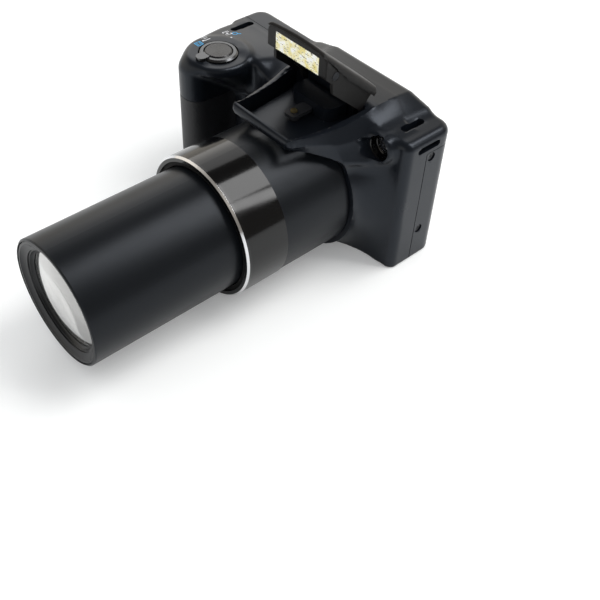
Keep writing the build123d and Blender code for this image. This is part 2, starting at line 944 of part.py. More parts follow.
with BuildPart() as rear_shell:
    add(outer_form.part)
    block(
        middle_x,
        (shell_seam_y + half_seam, back_y + overrun),
        (-overrun, back_seam_z - half_seam),
        mode=Mode.INTERSECT,
    )
    add(rear_strip.part)
    with BuildSketch(back_plane(back_y - overrun)):
        with Locations((-thumb_x, thumb_z)):
            RectangleRounded(thumb_width, thumb_height, thumb_radius)
    with BuildSketch(back_plane(back_y + thumb_proud)):
        with Locations((-thumb_x, thumb_z)):
            RectangleRounded(
                thumb_width * thumb_top_share,
                thumb_height * thumb_top_share,
                thumb_radius * thumb_top_share,
            )
    loft()
    add(hollow_form.part, mode=Mode.SUBTRACT)
    add(door_opening.part, mode=Mode.SUBTRACT)
    post(Plane.XY, (bush_x, bush_y), bush_radius + button_gap, base_wall + overrun, mode=Mode.SUBTRACT)
    for margin, depth in ((0, window_sheet - window_stand), (-screen_bezel, wall + overrun)):
        with BuildSketch(back_plane(back_y)):
            with Locations((-screen_x, screen_z)):
                RectangleRounded(
                    screen_width + (fit_gap + margin) * 2,
                    screen_height + (fit_gap + margin) * 2,
                    screen_radius,
                )
        extrude(amount=-depth, mode=Mode.SUBTRACT)
    post(back_plane(back_y), (-pad_x, pad_z), pad_radius + button_gap, -wall - overrun, mode=Mode.SUBTRACT)
    for x, z in rear_button_places.values():
        post(back_plane(back_y), (-x, z), rear_button_radius + button_gap, -wall - overrun, mode=Mode.SUBTRACT)
    screw_holes()
rear_shell.part.label = "rear_shell"
export_step(rear_shell.part, "parts/rear_shell.step")

with BuildPart() as top_plate:
    add(outer_form.part)
    block(
        (-half_width - overrun, plate_seam_x - half_seam),
        (grip_tip_y - overrun, plate_seam_y - half_seam),
        (skin_top_z + seam_gap, body_height + overrun),
        mode=Mode.INTERSECT,
    )
    block(
        middle_x,
        (shell_seam_y - half_seam, back_y),
        (skin_top_z - overrun, back_seam_z + half_seam),
        mode=Mode.SUBTRACT,
    )
    add(hollow_form.part, mode=Mode.SUBTRACT)
    post(
        Plane.XY.offset(lever_bottom_z - fit_gap),
        (shutter_x, shutter_y),
        lever_radius + fit_gap,
        overrun * 2,
        mode=Mode.SUBTRACT,
    )
    for radius, foot_z in (
        (lever_sleeve_radius + fit_gap, lever_foot_z - lever_foot_gap),
        (shutter_stem_radius + fit_gap * 2, skin_top_z),
    ):
        post(Plane.XY.offset(foot_z), (shutter_x, shutter_y), radius, body_height, mode=Mode.SUBTRACT)
    post(Plane.XY.offset(skin_top_z), (power_x, power_y), power_radius + button_gap, body_height, mode=Mode.SUBTRACT)
    eyelet(slot_left_x, slot_left_y, -1)
top_plate.part.label = "top_plate"
export_step(top_plate.part, "parts/top_plate.step")

with BuildPart() as grip_skin:
    add(skin_form.part)
grip_skin.part.label = "grip_skin"
export_step(grip_skin.part, "parts/grip_skin.step")

# Fasteners, chassis and tripod bush


def screw(plane, place):
    """A pan head screw whose head's top lies a little under a plane."""
    post(plane.offset(-screw_recess), place, screw_head_radius, -screw_head_height)
    post(plane.offset(-screw_recess), place, screw_shank_radius, -screw_head_height - screw_shank_length)


with BuildPart() as case_screws:
    for z in side_screw_heights:
        screw(Plane(origin=(half_width, side_screw_y, z), x_dir=(0, 1, 0), z_dir=(1, 0, 0)), (0, 0))
    for x, y in base_screw_places:
        screw(Plane(origin=(x, y, 0), x_dir=(1, 0, 0), z_dir=(0, 0, -1)), (0, 0))
case_screws.part.label = "case_screws"
export_step(case_screws.part, "parts/case_screws.step")

chassis_top_z = base_wall + chassis_sheet
with BuildPart() as chassis_frame:
    block(
        (chassis_left_x, chassis_right_x),
        (chassis_front_y, chassis_back_y),
        (base_wall, chassis_top_z),
    )
    block(
        (chassis_left_x, chassis_left_x + chassis_sheet),
        (chassis_front_y, chassis_back_y),
        (base_wall, chassis_height),
    )
    post(Plane.XY, (bush_x, bush_y), bush_radius, chassis_height, mode=Mode.SUBTRACT)
chassis_frame.part.label = "chassis_frame"
export_step(chassis_frame.part, "parts/chassis_frame.step")

with BuildPart() as tripod_bush:
    post(Plane.XY, (bush_x, bush_y), bush_radius, bush_height)
    post(Plane.XY.offset(chassis_top_z), (bush_x, bush_y), bush_flange_radius, bush_flange_thickness)
    post(Plane.XY, (bush_x, bush_y), bush_bore_radius, bush_bore_length, mode=Mode.SUBTRACT)
tripod_bush.part.label = "tripod_bush"
export_step(tripod_bush.part, "parts/tripod_bush.step")

with BuildPart() as af_lamp_window:
    lamp_face = lamp_boss_front_y + lamp_recess
    post(face_plane(-lamp_face - lamp_thickness), lamp_place, lamp_radius, lamp_thickness)
    chamfer(af_lamp_window.faces().sort_by(Axis.Y)[0].edges(), lamp_crown)
af_lamp_window.part.label = "af_lamp_window"
export_step(af_lamp_window.part, "parts/af_lamp_window.step")

# Fixed part of the lens

cam_inner_radius = moving_radius + cam_gap
cam_outer_radius = cam_inner_radius + cam_wall
tube_inner_radius = cam_outer_radius + cam_gap
sleeve_inner_radius = sleeve_radius - sleeve_wall
seal_outer_radius = bayonet_radius - cam_gap
step_d = groove_d + groove_width

with BuildPart() as outer_barrel:
    turned(
        (
            (lens_base_front_d, tube_inner_radius),
            (lens_base_front_d, bayonet_radius),
            (step_d, bayonet_radius),
            (step_d, fixed_radius),
            (satin_seam_d, fixed_radius),
            (satin_seam_d, sleeve_inner_radius),
            (ring_back_d, sleeve_inner_radius),
            (ring_back_d, seal_outer_radius),
            (seal_back_d, seal_outer_radius),
            (seal_back_d, tube_inner_radius),
        )
    )
outer_barrel.part.label = "outer_barrel"
export_step(outer_barrel.part, "parts/outer_barrel.step")

with BuildPart() as gloss_sleeve:
    turned(
        (
            (satin_seam_d + pin_fit, sleeve_inner_radius),
            (satin_seam_d + pin_fit, sleeve_radius),
            (ring_back_d, sleeve_radius),
            (ring_back_d, sleeve_inner_radius),
        )
    )
gloss_sleeve.part.label = "gloss_sleeve"
export_step(gloss_sleeve.part, "parts/gloss_sleeve.step")

with BuildPart() as chrome_ring:
    turned(
        (
            (ring_back_d, seal_outer_radius),
            (ring_back_d, sleeve_radius),
            (ring_front_d - ring_bevel, sleeve_radius),
            (ring_front_d, sleeve_radius - ring_bevel),
            (ring_front_d, seal_outer_radius),
        )
    )
chrome_ring.part.label = "chrome_ring"
export_step(chrome_ring.part, "parts/chrome_ring.step")

with BuildPart() as barrel_seal:
    turned(
        (
            (seal_back_d, moving_radius + seal_gap),
            (seal_back_d, seal_outer_radius),
            (seal_front_d, seal_outer_radius),
            (seal_front_d, moving_radius + seal_gap),
        )
    )
barrel_seal.part.label = "barrel_seal"
export_step(barrel_seal.part, "parts/barrel_seal.step")

with BuildPart() as cam_ring:
    turned(
        (
            (cam_back_d, cam_inner_radius),
            (cam_back_d, cam_outer_radius),
            (cam_front_d, cam_outer_radius),
            (cam_front_d, cam_inner_radius),
        )
    )
    for step in range(cam_slot_count):
        turn = 360 * step / cam_slot_count
        middle = (cam_back_d + cam_front_d) / 2
        slot_plane = Plane(
            origin=(lens_x, -middle, lens_z),
            x_dir=(0, -1, 0),
            z_dir=(sin(radians(turn)), 0, cos(radians(turn))),
        ).rotated((0, 0, cam_slot_tilt))
        with BuildSketch(slot_plane):
            SlotOverall(cam_slot_length, cam_slot_width)
        extrude(amount=cam_outer_radius + overrun, mode=Mode.SUBTRACT)
cam_ring.part.label = "cam_ring"
export_step(cam_ring.part, "parts/cam_ring.step")

with BuildPart() as lens_base:
    base_back_d = lens_base_front_d - lens_base_thickness
    post(face_plane(base_back_d), (0, 0), bayonet_radius, lens_base_thickness)
    with BuildSketch(face_plane(base_back_d)):
        Rectangle(sensor_width + fit_gap * 2, sensor_height + fit_gap * 2)
    extrude(amount=lens_base_thickness, mode=Mode.SUBTRACT)
    for angle in rod_angles:
        post(
            face_plane(base_back_d),
            on_orbit(rod_orbit, angle),
            rod_radius,
            lens_base_thickness,
            mode=Mode.SUBTRACT,
        )
    post(
        face_plane(base_back_d),
        on_orbit(rod_orbit, lead_angle),
        lead_nut_radius,
        lens_base_thickness,
        mode=Mode.SUBTRACT,
    )
lens_base.part.label = "lens_base"
export_step(lens_base.part, "parts/lens_base.step")

with BuildPart() as guide_rods:
    for angle in rod_angles:
        post(face_plane(base_back_d), on_orbit(rod_orbit, angle), rod_radius, rod_front_d - base_back_d)
guide_rods.part.label = "guide_rods"
export_step(guide_rods.part, "parts/guide_rods.step")

with BuildPart() as image_sensor:
    with BuildSketch(face_plane(base_back_d - sensor_plate_thickness)):
        Rectangle(sensor_plate_width, sensor_plate_height)
    extrude(amount=sensor_plate_thickness)
    with BuildSketch(face_plane(base_back_d)):
        Rectangle(sensor_width, sensor_height)
    extrude(amount=sensor_thickness)
image_sensor.part.label = "image_sensor"
export_step(image_sensor.part, "parts/image_sensor.step")

with BuildPart() as zoom_motor:
    with BuildSketch(Plane.XZ.offset(-gearbox_front_y)):
        with Locations((zoom_motor_x, zoom_motor_z)):
            Circle(zoom_motor_radius)
    extrude(amount=gearbox_front_y - zoom_motor_front_y)
    block(
        (zoom_motor_x - gearbox_width / 2, zoom_motor_x + gearbox_width / 2),
        (gearbox_front_y, gearbox_back_y),
        (zoom_motor_z - gearbox_height / 2, zoom_motor_z + gearbox_height / 2),
    )
zoom_motor.part.label = "zoom_motor"
export_step(zoom_motor.part, "parts/zoom_motor.step")

with BuildPart() as focus_motor:
    motor_place = on_orbit(rod_orbit, lead_angle)
    post(face_plane(base_back_d - focus_motor_length), motor_place, focus_motor_radius, focus_motor_length)
    post(face_plane(base_back_d), motor_place, lead_radius, lead_front_d - base_back_d)
focus_motor.part.label = "focus_motor"
export_step(focus_motor.part, "parts/focus_motor.step")

# Moving groups inside the lens


def carriage(back_d, depth, glass):
    """A lens carriage: a thin web, a hub round the glass, and bosses that run on the two rods."""
    post(face_plane(back_d), (0, 0), carriage_radius, carriage_web)
    post(face_plane(back_d), (0, 0), glass + carriage_hub_wall, depth)
    for angle in rod_angles:
        post(face_plane(back_d), on_orbit(rod_orbit, angle), rod_boss_radius, depth)
    for angle in rod_angles:
        hole = on_orbit(rod_orbit, angle)
        post(face_plane(back_d), hole, rod_radius + rod_fit, depth, mode=Mode.SUBTRACT)
    post(face_plane(back_d), (0, 0), glass + glass_seat, depth, mode=Mode.SUBTRACT)


def lens_glass(back_d, depth, radius):
    """A flat-sided glass on the lens axis, with a bevelled front rim."""
    turned(
        (
            (back_d, 0),
            (back_d, radius),
            (back_d + depth - glass_inset, radius),
            (back_d + depth, radius - glass_inset),
            (back_d + depth, 0),
        )
    )


with BuildPart() as zoom_carriage:
    carriage(zoom_carriage_d, zoom_carriage_depth, zoom_glass_radius)
zoom_carriage.part.label = "zoom_carriage"
export_step(zoom_carriage.part, "parts/zoom_carriage.step")

with BuildPart() as zoom_glass:
    lens_glass(zoom_carriage_d + glass_inset, zoom_carriage_depth - glass_inset * 2, zoom_glass_radius)
zoom_glass.part.label = "zoom_glass"
export_step(zoom_glass.part, "parts/zoom_glass.step")

with BuildPart() as iris_unit:
    iris_back_d = zoom_carriage_d + zoom_carriage_depth
    post(face_plane(iris_back_d), (0, 0), iris_radius, iris_depth)
    with BuildSketch(face_plane(iris_back_d)):
        RegularPolygon(iris_hole_radius, iris_blades)
    extrude(amount=iris_depth, mode=Mode.SUBTRACT)
iris_unit.part.label = "iris_unit"
export_step(iris_unit.part, "parts/iris_unit.step")

with BuildPart() as focus_carriage:
    carriage(focus_carriage_d, focus_carriage_depth, focus_glass_radius)
    lead_place = on_orbit(rod_orbit, lead_angle)
    post(face_plane(focus_carriage_d), lead_place, lead_nut_radius, carriage_web, mode=Mode.SUBTRACT)
focus_carriage.part.label = "focus_carriage"
export_step(focus_carriage.part, "parts/focus_carriage.step")

with BuildPart() as focus_glass:
    lens_glass(focus_carriage_d + glass_inset, focus_carriage_depth - glass_inset * 2, focus_glass_radius)
focus_glass.part.label = "focus_glass"
export_step(focus_glass.part, "parts/focus_glass.step")

# Moving barrel and front group

bezel_back_d = barrel_front_d - bezel_depth
glass_back_d = bezel_back_d - glass_edge
cell_back_d = barrel_front_d - cell_depth

with BuildPart() as front_barrel:
    inner = moving_radius - moving_wall
    turned(
        (
            (barrel_front_d - moving_length, inner),
            (barrel_front_d - moving_length, moving_radius),
            (barrel_front_d - barrel_bevel, moving_radius),
            (barrel_front_d, moving_radius - barrel_bevel),
            (barrel_front_d, inner),
        )
    )
front_barrel.part.label = "front_barrel"
export_step(front_barrel.part, "parts/front_barrel.step")

with BuildPart() as front_bezel:
    step_run = (bezel_depth - bezel_lip) / bezel_steps
    step_fall = (bezel_rim_radius - bezel_glass_radius) / bezel_steps
    bezel_points = [(bezel_back_d, cell_wall_radius), (barrel_front_d, cell_wall_radius)]
    for step in range(bezel_steps):
        bezel_points.append((barrel_front_d - step_run * step, bezel_rim_radius - step_fall * step))
        bezel_points.append(
            (barrel_front_d - step_run * (step + 1), bezel_rim_radius - step_fall * (step + bezel_cone_share))
        )
    bezel_points.append((barrel_front_d - step_run * bezel_steps, bezel_glass_radius))
    bezel_points.append((bezel_back_d, bezel_glass_radius))
    turned(bezel_points)
front_bezel.part.label = "front_bezel"
export_step(front_bezel.part, "parts/front_bezel.step")

with BuildPart() as front_cell:
    seat_radius = glass_radius + glass_seat
    turned(
        (
            (cell_back_d, cell_wall_radius),
            (bezel_back_d, cell_wall_radius),
            (bezel_back_d, seat_radius),
            (glass_back_d, seat_radius),
            (glass_back_d, cell_bore_radius),
            (cell_back_d, cell_bore_radius),
        )
    )
front_cell.part.label = "front_cell"
export_step(front_cell.part, "parts/front_cell.step")

with BuildPart() as second_element:
    lens_glass(cell_back_d + second_glass_inset, second_glass_thickness, second_glass_radius)
second_element.part.label = "second_element"
export_step(second_element.part, "parts/second_element.step")

with BuildPart() as front_element:
    with BuildSketch(lens_profile):
        with BuildLine():
            crown_arc = ThreePointArc(
                (bezel_back_d + glass_crown, 0),
                (bezel_back_d + glass_crown * 3 / 4, bezel_glass_radius / 2),
                (bezel_back_d, bezel_glass_radius - glass_inset / 2),
            )
            Polyline(
                crown_arc @ 1,
                (bezel_back_d, glass_radius),
                (glass_back_d, glass_radius),
                (glass_back_d, 0),
                crown_arc @ 0,
            )
        make_face()
    revolve(axis=lens_axis)
front_element.part.label = "front_element"
export_step(front_element.part, "parts/front_element.step")

# Flash head

case_top = cover_height - cover_thickness
tilt_sine = sin(radians(cover_tilt))
tilt_cosine = cos(radians(cover_tilt))
face_bottom_run = (case_top - case_box_floor) * tan(radians(cover_tilt))
# Seen from the side, to the rear along the cover and out of the cover.
head_side = Plane(origin=(lens_x, hinge_y, hinge_z), x_dir=head_plane.y_dir, z_dir=(1, 0, 0))

with BuildPart() as flash_cover:
    extrude(cover_outline(head_plane.offset(case_top), 0), amount=cover_thickness)
    head_normal = Axis(head_plane.origin, head_plane.z_dir)
    fillet(flash_cover.edges().filter_by(head_normal), cover_corner_radius)
    fillet(flash_cover.faces().sort_by(head_normal)[-1].edges(), cover_edge_radius)
flash_cover.part.label = "flash_cover"
export_step(flash_cover.part, "parts/flash_cover.step")


def face_point(run, drop):
    """A place in the side view of the head: behind the face's top edge by a run, and below it by a drop."""
    return (-case_front + run * tilt_cosine + drop * tilt_sine, case_top + run * tilt_sine - drop * tilt_cosine)


def case_plan(plane, inset, front, back):
    """The plan of the flash case on a plane of the head, between two places along it."""
    with BuildSketch(plane) as plan:
        with BuildLine():
            Polyline(
                (-case_half(front) + inset, front),
                (case_half(front) - inset, front),
                (case_half(back) - inset, back),
                (-case_half(back) + inset, back),
                close=True,
            )
        make_face()
    return plan.sketch


with BuildPart() as flash_case:
    extrude(case_plan(head_plane.offset(case_bottom), 0, -case_front, -case_back), amount=case_top - case_bottom)
    hollow_front = -case_front + case_box_depth
    extrude(
        case_plan(head_plane.offset(case_bottom), case_wall, hollow_front, 0),
        amount=case_top - case_bottom,
        mode=Mode.SUBTRACT,
    )
    with BuildSketch(head_side):
        with BuildLine():
            Polyline(
                (-case_front - overrun, case_top + overrun),
                (-case_front - overrun, case_bottom - overrun),
                (case_wall_drop_y, case_bottom - overrun),
                (case_wall_drop_y, case_bottom),
                (hollow_front, case_box_floor),
                (-case_front + face_bottom_run, case_box_floor),
                (-case_front, case_top),
                (-case_front, case_top + overrun),
                close=True,
            )
        make_face()
    extrude(amount=half_width, both=True, mode=Mode.SUBTRACT)
    for side in (-1, 1):
        block_plane = head_side.offset(side * (ear_half - ear_thickness / 2))
        with BuildSketch(block_plane):
            Polygon(
                (arm_front_y, arm_web_floor),
                (arm_front_y, case_top),
                (-case_back, case_top),
                (-case_back, arm_web_floor),
                align=None,
            )
        extrude(amount=side * (case_half(arm_front_y) - case_wall / 2 - ear_half + ear_thickness / 2))
        with BuildSketch(block_plane):
            Polygon(
                (arm_front_y, arm_web_floor),
                *arm_lower,
                *arm_upper,
                (arm_back_y, case_top),
                (arm_front_y, case_top),
                align=None,
            )
            Circle(ear_radius)
            Circle(pin_radius + pin_fit, mode=Mode.SUBTRACT)
        extrude(amount=side * ear_thickness)
        screw_start = head_side.offset(side * (case_half(case_screw_y) - case_screw_sink))
        screw_place = (case_screw_y, case_screw_z)
        post(screw_start, screw_place, case_screw_radius + pin_fit, side * overrun, mode=Mode.SUBTRACT)
        post(
            screw_start,
            screw_place,
            case_screw_shank + pin_fit,
            -side * case_screw_shank_length,
            mode=Mode.SUBTRACT,
        )
    with BuildSketch(head_side):
        Polygon(
            face_point(-overrun, window_margin),
            face_point(0, window_margin),
            *cavity_back,
            face_point(0, window_margin + window_height),
            face_point(-overrun, window_margin + window_height),
            align=None,
        )
    extrude(amount=window_width / 2 + fit_gap / 2, both=True, mode=Mode.SUBTRACT)
flash_case.part.label = "flash_case"
export_step(flash_case.part, "parts/flash_case.step")

with BuildPart() as flash_window:
    with BuildSketch(head_side):
        window_top = face_point(-window_proud, window_margin + fit_gap / 2)
        window_foot = face_point(-window_proud, window_margin + window_height - fit_gap / 2)
        Polygon(
            window_top,
            (window_top[0] + window_run, window_top[1]),
            (window_foot[0] + window_run, window_foot[1]),
            window_foot,
            align=None,
        )
    extrude(amount=window_width / 2, both=True)
flash_window.part.label = "flash_window"
export_step(flash_window.part, "parts/flash_window.step")

with BuildPart() as flash_reflector:
    trough_top = (window_top[0] + window_run + fit_gap, window_top[1] - fit_gap / 2)
    trough_foot = (window_foot[0] + window_run + fit_gap, window_foot[1] + fit_gap / 2)
    with BuildSketch(head_side):
        Polygon(trough_top, *reflector_back, trough_foot, align=None)
        Polygon(
            (trough_top[0] - overrun, trough_top[1] - reflector_wall),
            *reflector_trough,
            (trough_foot[0], trough_foot[1] + reflector_wall),
            (trough_foot[0] - overrun, trough_foot[1] + reflector_wall),
            align=None,
            mode=Mode.SUBTRACT,
        )
    extrude(amount=window_width / 2, both=True)
flash_reflector.part.label = "flash_reflector"
export_step(flash_reflector.part, "parts/flash_reflector.step")

with BuildPart() as flash_tube:
    with BuildSketch(head_side):
        with Locations(flash_tube_place):
            Circle(flash_tube_radius)
    extrude(amount=flash_tube_length / 2, both=True)
flash_tube.part.label = "flash_tube"
export_step(flash_tube.part, "parts/flash_tube.step")

with BuildPart() as flash_screws:
    for side in (-1, 1):
        screw_start = head_side.offset(side * (case_half(case_screw_y) - case_screw_sink))
        post(screw_start, screw_place, case_screw_radius, side * case_screw_height)
        post(screw_start, screw_place, case_screw_shank, -side * case_screw_shank_length)
flash_screws.part.label = "flash_screws"
export_step(flash_screws.part, "parts/flash_screws.step")

with BuildPart() as flash_pins:
    for side in (-1, 1):
        pin_start = Plane.YZ.offset(lens_x + side * pin_start_half)
        post(pin_start, (hinge_y, hinge_z), pin_radius, side * pin_length)
flash_pins.part.label = "flash_pins"
export_step(flash_pins.part, "parts/flash_pins.step")

with BuildPart() as latch_block:
    block((lens_x - block_half, lens_x + block_half), (block_front_y, block_back_y), (well_floor_z, block_top_z))
    corners = latch_block.edges().filter_by(Axis.Z).sort_by(Axis.Y)[:2]
    fillet(corners, block_corner_radius)
latch_block.part.label = "latch_block"
export_step(latch_block.part, "parts/latch_block.step")

bracket_bottom_z = well_floor_z + bracket_lift
with BuildPart() as latch_bracket:
    with BuildSketch(Plane.XY.offset(bracket_bottom_z)):
        with Locations((lens_x, (block_front_y + bracket_front_y) / 2)):
            RectangleRounded(bracket_width, block_front_y - bracket_front_y, bracket_corner_radius)
    extrude(amount=bracket_thickness)
    post(Plane.XY.offset(well_floor_z), (lens_x, bracket_screw_y), bracket_boss_radius, bracket_lift)
    screw_top_z = bracket_bottom_z + bracket_thickness
    post(Plane.XY.offset(screw_top_z), (lens_x, bracket_screw_y), bracket_screw_radius, bracket_screw_height)
latch_bracket.part.label = "latch_bracket"
export_step(latch_bracket.part, "parts/latch_bracket.step")

# Top controls

with BuildPart() as zoom_lever:
    post(Plane.XY.offset(lever_bottom_z), (shutter_x, shutter_y), lever_radius, lever_top_z - lever_bottom_z)
    chamfer(zoom_lever.faces().sort_by(Axis.Z)[-1].edges(), lever_edge_cut)
    with BuildSketch(Plane.XY.offset(dais_top_z + fit_gap)) as tab:
        with Locations((shutter_x, shutter_y - lever_radius)):
            SlotOverall(lever_tab_length, lever_tab_width, rotation=90)
    extrude(tab.sketch, amount=lever_top_z + lever_tab_lift - dais_top_z - fit_gap)
    post(Plane.XY.offset(lever_foot_z), (shutter_x, shutter_y), lever_sleeve_radius, lever_top_z - lever_foot_z)
    post(
        Plane.XY.offset(lever_foot_z),
        (shutter_x, shutter_y),
        lever_inner_radius,
        lever_top_z + overrun - lever_foot_z,
        mode=Mode.SUBTRACT,
    )
zoom_lever.part.label = "zoom_lever"
export_step(zoom_lever.part, "parts/zoom_lever.step")

with BuildPart() as shutter_button:
    post(Plane.XY.offset(shutter_foot_z), (shutter_x, shutter_y), shutter_radius, shutter_top_z - shutter_foot_z)
    chamfer(shutter_button.faces().sort_by(Axis.Z)[-1].edges(), shutter_crown)
    post(Plane.XY.offset(shutter_stem_z), (shutter_x, shutter_y), shutter_stem_radius, shutter_foot_z - shutter_stem_z)
shutter_button.part.label = "shutter_button"
export_step(shutter_button.part, "parts/shutter_button.step")

with BuildPart() as power_button:
    flange_bottom_z = body_height - wall - fit_gap - button_flange_thickness
    post(Plane.XY.offset(flange_bottom_z), (power_x, power_y), power_radius, power_top_z - flange_bottom_z)
    chamfer(power_button.faces().sort_by(Axis.Z)[-1].edges(), power_crown)
    post(
        Plane.XY.offset(flange_bottom_z),
        (power_x, power_y),
        power_radius + button_flange,
        button_flange_thickness,
    )
power_button.part.label = "power_button"
export_step(power_button.part, "parts/power_button.step")

# Rear controls and screen

flange_back_y = back_y - wall - fit_gap
for name, (x, z) in rear_button_places.items():
    with BuildPart() as rear_button:
        cap_depth = back_y + rear_button_proud - flange_back_y
        post(back_plane(flange_back_y), (-x, z), rear_button_radius, cap_depth)
        chamfer(rear_button.faces().sort_by(Axis.Y)[-1].edges(), power_crown)
        post(
            back_plane(flange_back_y - button_flange_thickness),
            (-x, z),
            rear_button_radius + rear_flange,
            button_flange_thickness,
        )
    rear_button.part.label = name
    export_step(rear_button.part, f"parts/{name}.step")

with BuildPart() as control_pad:
    post(back_plane(flange_back_y), (-pad_x, pad_z), pad_radius, back_y + pad_proud - flange_back_y)
    chamfer(control_pad.faces().sort_by(Axis.Y)[-1].edges(), pad_edge_cut)
    post(
        back_plane(flange_back_y - button_flange_thickness),
        (-pad_x, pad_z),
        pad_radius + rear_flange,
        button_flange_thickness,
    )
    post(
        back_plane(flange_back_y - button_flange_thickness),
        (-pad_x, pad_z),
        pad_inner_radius,
        wall + overrun * 2,
        mode=Mode.SUBTRACT,
    )
control_pad.part.label = "control_pad"
export_step(control_pad.part, "parts/control_pad.step")

with BuildPart() as set_button:
    set_foot_y = flange_back_y - button_flange_thickness
    post(back_plane(set_foot_y), (-pad_x, pad_z), set_radius, back_y + set_proud - set_foot_y)
    chamfer(set_button.faces().sort_by(Axis.Y)[-1].edges(), power_crown)
set_button.part.label = "set_button"
export_step(set_button.part, "parts/set_button.step")

with BuildPart() as button_board:
    block(
        (button_board_left_x, button_board_right_x),
        (button_board_y, button_board_y + button_board_thickness),
        (button_board_bottom_z, button_board_top_z),
    )
button_board.part.label = "button_board"
export_step(button_board.part, "parts/button_board.step")

window_back_y = back_y + window_stand - window_sheet
with BuildPart() as lcd_window:
    with BuildSketch(back_plane(window_back_y)):
        with Locations((-screen_x, screen_z)):
            RectangleRounded(screen_width, screen_height, screen_radius)
    extrude(amount=window_sheet)
    chamfer(lcd_window.faces().sort_by(Axis.Y)[-1].edges(), window_edge_cut)
lcd_window.part.label = "lcd_window"
export_step(lcd_window.part, "parts/lcd_window.step")

with BuildPart() as lcd_panel:
    panel_half_width = screen_width / 2 - screen_bezel - fit_gap
    panel_half_height = screen_height / 2 - screen_bezel - fit_gap
    block(
        (screen_x - panel_half_width, screen_x + panel_half_width),
        (window_back_y - panel_gap - panel_thickness, window_back_y - panel_gap),
        (screen_z - panel_half_height, screen_z + panel_half_height),
    )
lcd_panel.part.label = "lcd_panel"
export_step(lcd_panel.part, "parts/lcd_panel.step")

# Electronics

with BuildPart() as main_board:
    block(
        (board_left_x, board_right_x),
        (board_front_y, board_front_y + board_thickness),
        (board_bottom_z, board_top_z),
    )
    for x, z, size in chip_places:
        block(
            (x - size / 2, x + size / 2),
            (board_front_y + board_thickness, board_front_y + board_thickness + chip_height),
            (z - size / 2, z + size / 2),
        )
main_board.part.label = "main_board"
export_step(main_board.part, "parts/main_board.step")

with BuildPart() as flash_capacitor:
    post(Plane.XY.offset(capacitor_bottom_z), (capacitor_x, capacitor_y), capacitor_radius, capacitor_height)
flash_capacitor.part.label = "flash_capacitor"
export_step(flash_capacitor.part, "parts/flash_capacitor.step")

with BuildPart() as speaker:
    post(Plane.XY.offset(base_wall), (speaker_x, speaker_y), speaker_radius, speaker_height)
speaker.part.label = "speaker"
export_step(speaker.part, "parts/speaker.step")

# Battery bay, door and card

with BuildPart() as battery_box:
    block(
        (
            battery_x - battery_thickness / 2 - bay_gap - bay_wall,
            card_x + card_thickness / 2 + bay_gap + bay_wall,
        ),
        (battery_back_y - battery_depth - bay_gap - bay_wall, battery_back_y + bay_gap + bay_wall),
        (bay_floor_z, battery_bottom_z + battery_height + bay_gap + bay_wall),
    )
    block(
        (battery_x - battery_thickness / 2 - bay_gap, battery_x + battery_thickness / 2 + bay_gap),
        (battery_back_y - battery_depth - bay_gap, battery_back_y + bay_gap),
        (bay_floor_z, battery_bottom_z + battery_height + bay_gap),
        mode=Mode.SUBTRACT,
    )
    block(
        (card_x - card_thickness / 2 - bay_gap, card_x + card_thickness / 2 + bay_gap),
        (battery_back_y - card_depth - bay_gap, battery_back_y + bay_gap),
        (bay_floor_z, battery_bottom_z + card_height + bay_gap),
        mode=Mode.SUBTRACT,
    )
battery_box.part.label = "battery_box"
export_step(battery_box.part, "parts/battery_box.step")

with BuildPart() as battery:
    block(
        (battery_x - battery_thickness / 2, battery_x + battery_thickness / 2),
        (battery_back_y - battery_depth, battery_back_y),
        (battery_bottom_z, battery_bottom_z + battery_height),
    )
    fillet(battery.edges().filter_by(Axis.Z), battery_edge_radius)
battery.part.label = "battery"
export_step(battery.part, "parts/battery.step")

with BuildPart() as memory_card:
    with BuildSketch(Plane.YZ.offset(card_x - card_thickness / 2)):
        with BuildLine():
            Polyline(
                (battery_back_y - card_depth, battery_bottom_z),
                (battery_back_y, battery_bottom_z),
                (battery_back_y, battery_bottom_z + card_height),
                (battery_back_y - card_depth + card_notch, battery_bottom_z + card_height),
                (battery_back_y - card_depth, battery_bottom_z + card_height - card_notch),
                close=True,
            )
        make_face()
    extrude(amount=card_thickness)
memory_card.part.label = "memory_card"
export_step(memory_card.part, "parts/memory_card.step")

with BuildPart() as battery_door:
    with BuildSketch():
        with BuildLine():
            FilletPolyline(
                (door_left_x, door_front_y),
                (door_hinge_x, door_front_y),
                (door_hinge_x, door_back_y),
                (door_left_x, door_back_y),
                radius=(door_corner_radius, 0, 0, door_corner_radius),
                close=True,
            )
        make_face()
    extrude(amount=door_thickness)
    door_end = Plane.XZ.offset(-door_back_y)
    door_length = door_back_y - door_front_y
    post(door_end, (door_hinge_x, door_barrel_radius), door_barrel_radius, door_length)
    post(
        door_end,
        (door_hinge_x, door_barrel_radius),
        door_pin_radius + pin_fit,
        door_length,
        mode=Mode.SUBTRACT,
    )
    latch_start_x = door_left_x + latch_margin
    block(
        (latch_start_x - fit_gap / 2, latch_start_x + latch_width + latch_travel + fit_gap / 2),
        (latch_y - latch_length / 2 - fit_gap / 2, latch_y + latch_length / 2 + fit_gap / 2),
        (-overrun, latch_depth + fit_gap / 2),
        mode=Mode.SUBTRACT,
    )
battery_door.part.label = "battery_door"
export_step(battery_door.part, "parts/battery_door.step")

with BuildPart() as door_pin:
    post(
        Plane.XZ.offset(-door_back_y - door_pin_seat + pin_fit),
        (door_hinge_x, door_barrel_radius),
        door_pin_radius,
        door_length + (door_pin_seat - pin_fit) * 2,
    )
door_pin.part.label = "door_pin"
export_step(door_pin.part, "parts/door_pin.step")

